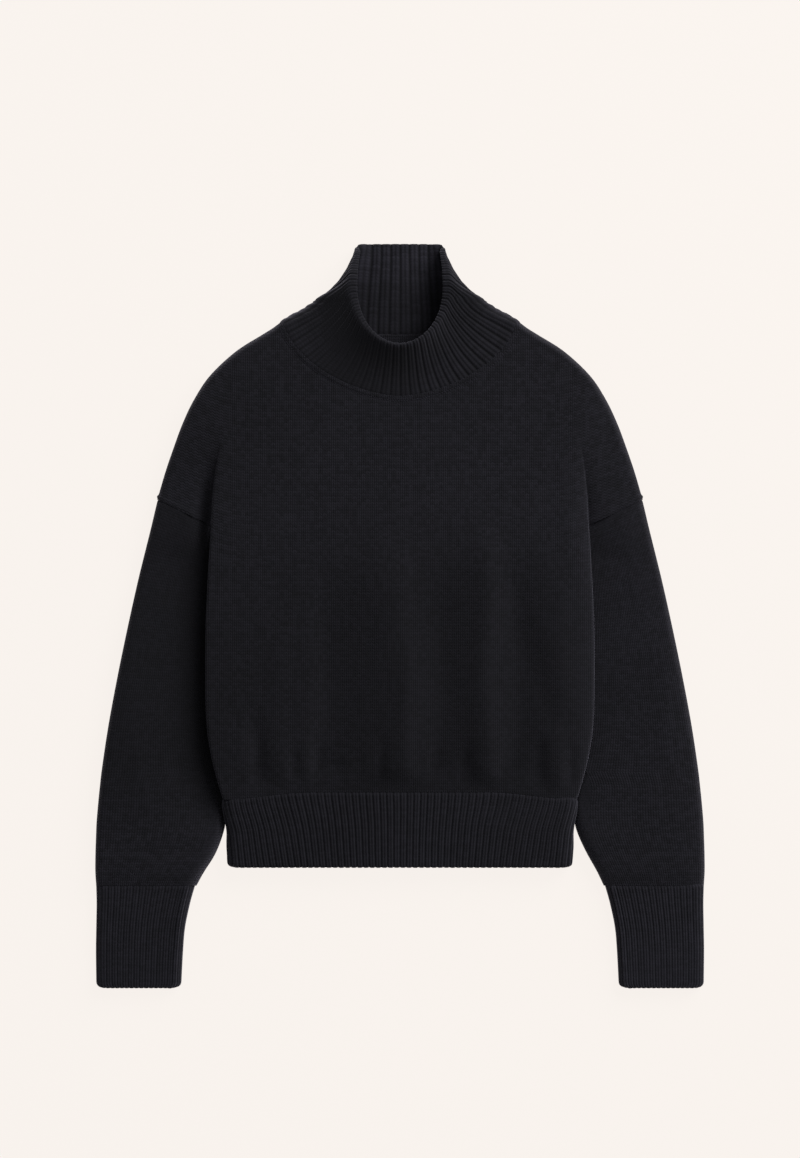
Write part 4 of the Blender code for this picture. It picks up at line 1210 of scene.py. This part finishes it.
def collarStations():
    # foot, crest and rim of the collar for each column across its ribs
    total, perRib = collarShape["ribs"], collarShape["columnsPerRib"]
    ribs = np.arange(perRib * total) / perRib
    ribs = np.where(ribs > total / 2, ribs - total, ribs)
    side, count = np.where(ribs < 0, -1.0, 1.0), np.abs(ribs)
    frontHalf, mouthHalf, half = collarShape["frontRibs"] / 2, collarShape["mouthRibs"] / 2, total / 2
    onFront = count <= frontHalf
    gap = cloth["seamGap"]
    front = neckline(neckShape["frontDepth"], 1 - np.clip(count / frontHalf, 0, 1), 2 * gap)
    atBack = np.clip((count - frontHalf) / (half - frontHalf), 0, 1)
    back = neckline(neckShape["backDepth"], atBack, 3 * gap)
    narrower = -1.5 * (back[:, 0] / neckShape["halfWidth"]) ** 3
    back = back + np.stack([narrower, np.full(len(back), -0.6)], axis=1)
    foot = np.where(onFront[:, None], front, back)
    frontZ = frontHeight(foot[:, 0], foot[:, 1])
    backZ = backHeight(foot[:, 0], foot[:, 1])
    foot = np.column_stack([foot, np.where(onFront, frontZ, backZ)])

    path = mouthPath()
    way = np.clip(count / mouthHalf, 0.0, 1.0)
    pathPoints = atFractions(path, way)
    ahead = atFractions(path, np.minimum(way + 0.01, 1.0))
    behind = atFractions(path, np.clip(way - 0.01, 0.0, 0.98))
    along = (ahead - behind)[:, :2]
    along /= np.linalg.norm(along, axis=1)[:, None]
    outward = np.stack([along[:, 1], -along[:, 0]], axis=1)

    onTop = ease((count - mouthHalf + 1.2) / 2.4)
    topX = collarShape["mouthTopHalfWidth"] * np.clip((half - count) / (half - mouthHalf), 0, 1.12)
    beside = ease((pathPoints[:, 1] - collarShape["mouthWidestY"] + collarShape["mouthDepth"]) / 40.0)
    pathPoints[:, 2] *= 1 - collarShape["rightSideSag"] * beside * (side > 0)
    outFront, outSide = collarShape["crestOutFront"], collarShape["crestOutSide"]
    out = outFront + (outSide - outFront) * beside
    out = out * (1 - 0.45 * ease((pathPoints[:, 1] - 362.0) / 26.0))
    rimOut = outward * collarShape["rimOut"]
    rimBranch = pathPoints + np.column_stack([rimOut, np.zeros(len(count))])
    lift = np.full(len(count), collarShape["crestLift"])
    crestBranch = pathPoints + np.column_stack([outward * out[:, None], lift])
    rimTop = np.column_stack([topX, np.full(len(count), collarShape["topY"]), np.zeros(len(count))])
    crestTop = rimTop - np.array([0.0, collarShape["crestBelowTop"], 0.0])
    rim = rimBranch + (rimTop - rimBranch) * onTop[:, None]
    crest = crestBranch + (crestTop - crestBranch) * onTop[:, None]

    backWay = ease((count - frontHalf - 0.5) / 6.5)[:, None]
    lean = math.radians(collarShape["sideLean"]) * np.sin(np.minimum(count / frontHalf, 1.0) * math.pi / 2)
    leave = np.stack([-np.sin(lean), np.cos(lean)], axis=1)
    leave = leave + (np.array([0.0, 1.0]) - leave) * backWay
    leave *= 1 - collarShape["sideTightness"] * np.exp(-((count - frontHalf) / 3.0) ** 2)[:, None]
    arrive = -outward * 0.5 * (1 - onTop[:, None]) + np.array([0.0, 0.9])
    arrive /= np.linalg.norm(arrive, axis=1)[:, None]
    return count, side, foot, crest, rim, leave, arrive


def fitToOutline(rings):
    # moves the funnel's outermost points onto its outline, and the points further in less
    edgeY, edgeX = np.array(collarShape["outline"]).T
    points = rings.reshape(-1, 3)
    levels = np.linspace(edgeY[0], edgeY[-1], 60)
    widest = np.array([np.abs(points[np.abs(points[:, 1] - y) < 1.6, 0]).max() for y in levels])
    shift = np.interp(levels, edgeY, edgeX) - widest
    reach = np.interp(rings[..., 1], levels, widest)
    inner = np.minimum(collarShape["mouthHalfWidth"], reach - 5.0)
    out = np.abs(rings[..., 0])
    share = ease((out - inner) / np.maximum(reach - inner, 1.0))
    rings[..., 0] += share * np.interp(rings[..., 1], levels, shift, left=0.0) * np.sign(rings[..., 0])
    return rings


def makeCollar():
    count, side, foot, crest, rim, leave, arrive = collarStations()
    reach = np.linalg.norm((crest - foot)[:, :2], axis=1)[:, None] / 3.0
    first, second = foot[:, :2] + leave * reach, crest[:, :2] - arrive * reach
    power = 2.4 + 0.8 * ease((count - collarShape["frontRibs"] / 2) / 4.0)
    rings = []
    for v in np.linspace(0.0, 1.0, collarShape["rowsBelowCrest"]):
        plan = ((1 - v) ** 3 * foot[:, :2] + 3 * v * (1 - v) ** 2 * first
                + 3 * v * v * (1 - v) * second + v ** 3 * crest[:, :2])
        rings.append(np.column_stack([plan, foot[:, 2] + (crest[:, 2] - foot[:, 2]) * v ** power]))
    onFront = count <= collarShape["frontRibs"] / 2
    tucked = rings[0].copy()
    toWall = leave / np.linalg.norm(leave, axis=1)[:, None]
    tucked[:, :2] -= collarShape["tuck"] * toWall
    tucked[:, 2] += np.where(onFront, -1.2, 0.6)
    rings.insert(0, tucked)
    for v in np.linspace(0.0, 1.0, collarShape["rowsOverCrest"] + 1)[1:]:
        rings.append(crest + (rim - crest) * v)
    rings = np.array(rings)
    # soften the turn at the crest
    for _ in range(3):
        low = collarShape["rowsBelowCrest"] - 3
        rings[low:-1] = 0.25 * rings[low - 1:-2] + 0.5 * rings[low:-1] + 0.25 * rings[low + 1:]
    rings[..., 0] *= side
    rings = fitToOutline(rings)
    rings[..., 2] = np.maximum(rings[..., 2], 0.0)
    rows, columns = rings.shape[:2]
    normals = pointNormals(rings.reshape(-1, 3), gridFaces(rows, columns, closed=True)).reshape(rings.shape)
    thin = collarShape["cornerThinning"] * np.exp(-((count - collarShape["mouthRibs"] / 2) / 2.4) ** 2)
    wall = np.broadcast_to(cloth["wall"] - thin, rings.shape[:2]).copy()
    wall[0] *= 0.4
    inside = rings - normals * wall[..., None]
    rowNumber = np.arange(rows)
    fade = ease(rowNumber / 2.0 + 0.2) * ease((rows - 1 - rowNumber) / 3.0 + 0.5)
    lifted = ease((rings[..., 2] - 1.0) / 5.0)
    number = np.arange(columns) / collarShape["columnsPerRib"]
    ribCount = np.tile(number, rows)
    within = ease((count - collarShape["mouthRibs"] / 2 + 6.0) / 4.0)
    atBack = 1 - 0.6 * ease((count - collarShape["frontRibs"] / 2 - 0.5) / 1.5)
    strength, insideStrength = fade[:, None] * lifted * atBack, fade[:, None] * within[None]
    way = np.clip(rowNumber / collarShape["rowsBelowCrest"], 0.0, 1.0)[:, None]
    # painted shade below the crest and on the left, down to the foot; inside, painted light near the top
    # and painted shade low
    paintedLightAndTone = collarShape["paintedLightAndTone"] + collarShape["crestPaintedShade"] * ease((way - 0.25) / 0.5) * ease((1.02 - way) / 0.1)
    toLeft = ease((36.0 - rings[..., 0]) / 40.0) * ease((rings[..., 0] + 112.0) / 50.0)
    paintedLightAndTone = paintedLightAndTone + collarShape["leftPaintedShade"] * toLeft * ease((1.02 - way) / 0.1)
    insidePaintedLightAndShade = collarShape["insideLowPaintedShade"] + (
        collarShape["insideTopPaintedLight"] - collarShape["insideLowPaintedShade"]) * ease((rings[..., 1] - 330.0) / 42.0)
    knit = ribMap(rings, np.append(number, collarShape["ribs"]))
    piece = makeTube("collarFunnel", rings, inside, knit, ribbing, 1,
                     ribMarks(ribCount, strength, np.concatenate([paintedLightAndTone.ravel(), insidePaintedLightAndShade.ravel()]),
                              ribCount, insideStrength, 0.15))
    raiseRibs(piece, "collar")
    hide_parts("collar")
    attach(piece, "root")
    return piece


collar = makeCollar()
print("sweater: collar done")


# ---- linking stitches round the collar's foot

def stitchTree():
    # small rounded loops at even steps along a line
    tree, start = newTree("stitchRow", ("Every", "Long", "Thick"), "Yarn")
    line = addNode(tree, "GeometryNodeMeshToCurve", {"Mesh": start["Geometry"]})
    places = addNode(tree, "GeometryNodeCurveToPoints", {"Curve": line, "Length": start["Every"]},
                     mode="LENGTH")
    loop = addNode(tree, "GeometryNodeMeshUVSphere", {"Segments": 7, "Rings": 5, "Radius": 0.5})
    size = addNode(tree, "ShaderNodeCombineXYZ", {0: start["Thick"], 1: start["Thick"], 2: start["Long"]})
    varied = addNode(tree, "FunctionNodeRandomValue", {2: 0.85, 3: 1.1, "Seed": 5}, data_type="FLOAT")
    size = addNode(tree, "ShaderNodeVectorMath", {0: size, "Scale": varied.outputs[1]}, operation="SCALE")
    placed = addNode(tree, "GeometryNodeInstanceOnPoints", {
        "Points": places, "Instance": loop, "Rotation": places.outputs["Rotation"], "Scale": size})
    return endTree(tree, placed, start["Yarn"])


def linkingYarn():
    # The same wool as a single strand: matt and a little fuzzy.
    material = bpy.data.materials.new("lambswoolStrand")
    material.use_nodes = True
    shader = material.node_tree.nodes["Principled BSDF"]
    shader.inputs["Base Color"].default_value = linear(seamLook["stitchColour"])
    woolFinish(shader)
    return material


def makeLinking():
    # its line runs outside the neckline, from near one shoulder seam to the other
    half = neckline(neckShape["frontDepth"], np.linspace(0.05, 1.0, 120))
    step = np.gradient(half, axis=0)
    step /= np.linalg.norm(step, axis=1)[:, None]
    outward = np.stack([-step[:, 1], step[:, 0]], axis=1)
    outward *= np.where(outward[:, 1] > 0, -1.0, 1.0)[:, None]
    half = half + outward * (seamLook["neckBand"] + 0.6)
    line = np.vstack([half, (half * [-1.0, 1.0])[::-1][1:]])
    points = np.column_stack([line, frontHeight(line[:, 0], line[:, 1]) - 0.25]) * mm
    mesh = bpy.data.meshes.new("linkingStitches")
    mesh.from_pydata(points.tolist(), [(i, i + 1) for i in range(len(points) - 1)], [])
    piece = bpy.data.objects.new("linkingStitches", mesh)
    bpy.context.scene.collection.objects.link(piece)
    applyTree(piece, stitchTree(), {
        "Every": seamLook["stitchEvery"] * mm, "Long": seamLook["stitchLong"] * mm,
        "Thick": seamLook["stitchThick"] * mm, "Yarn": linkingYarn()})
    piece.data.shade_smooth()
    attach(piece, "root")
    return piece


linkingStitches = makeLinking()
print("sweater: linking stitches done")
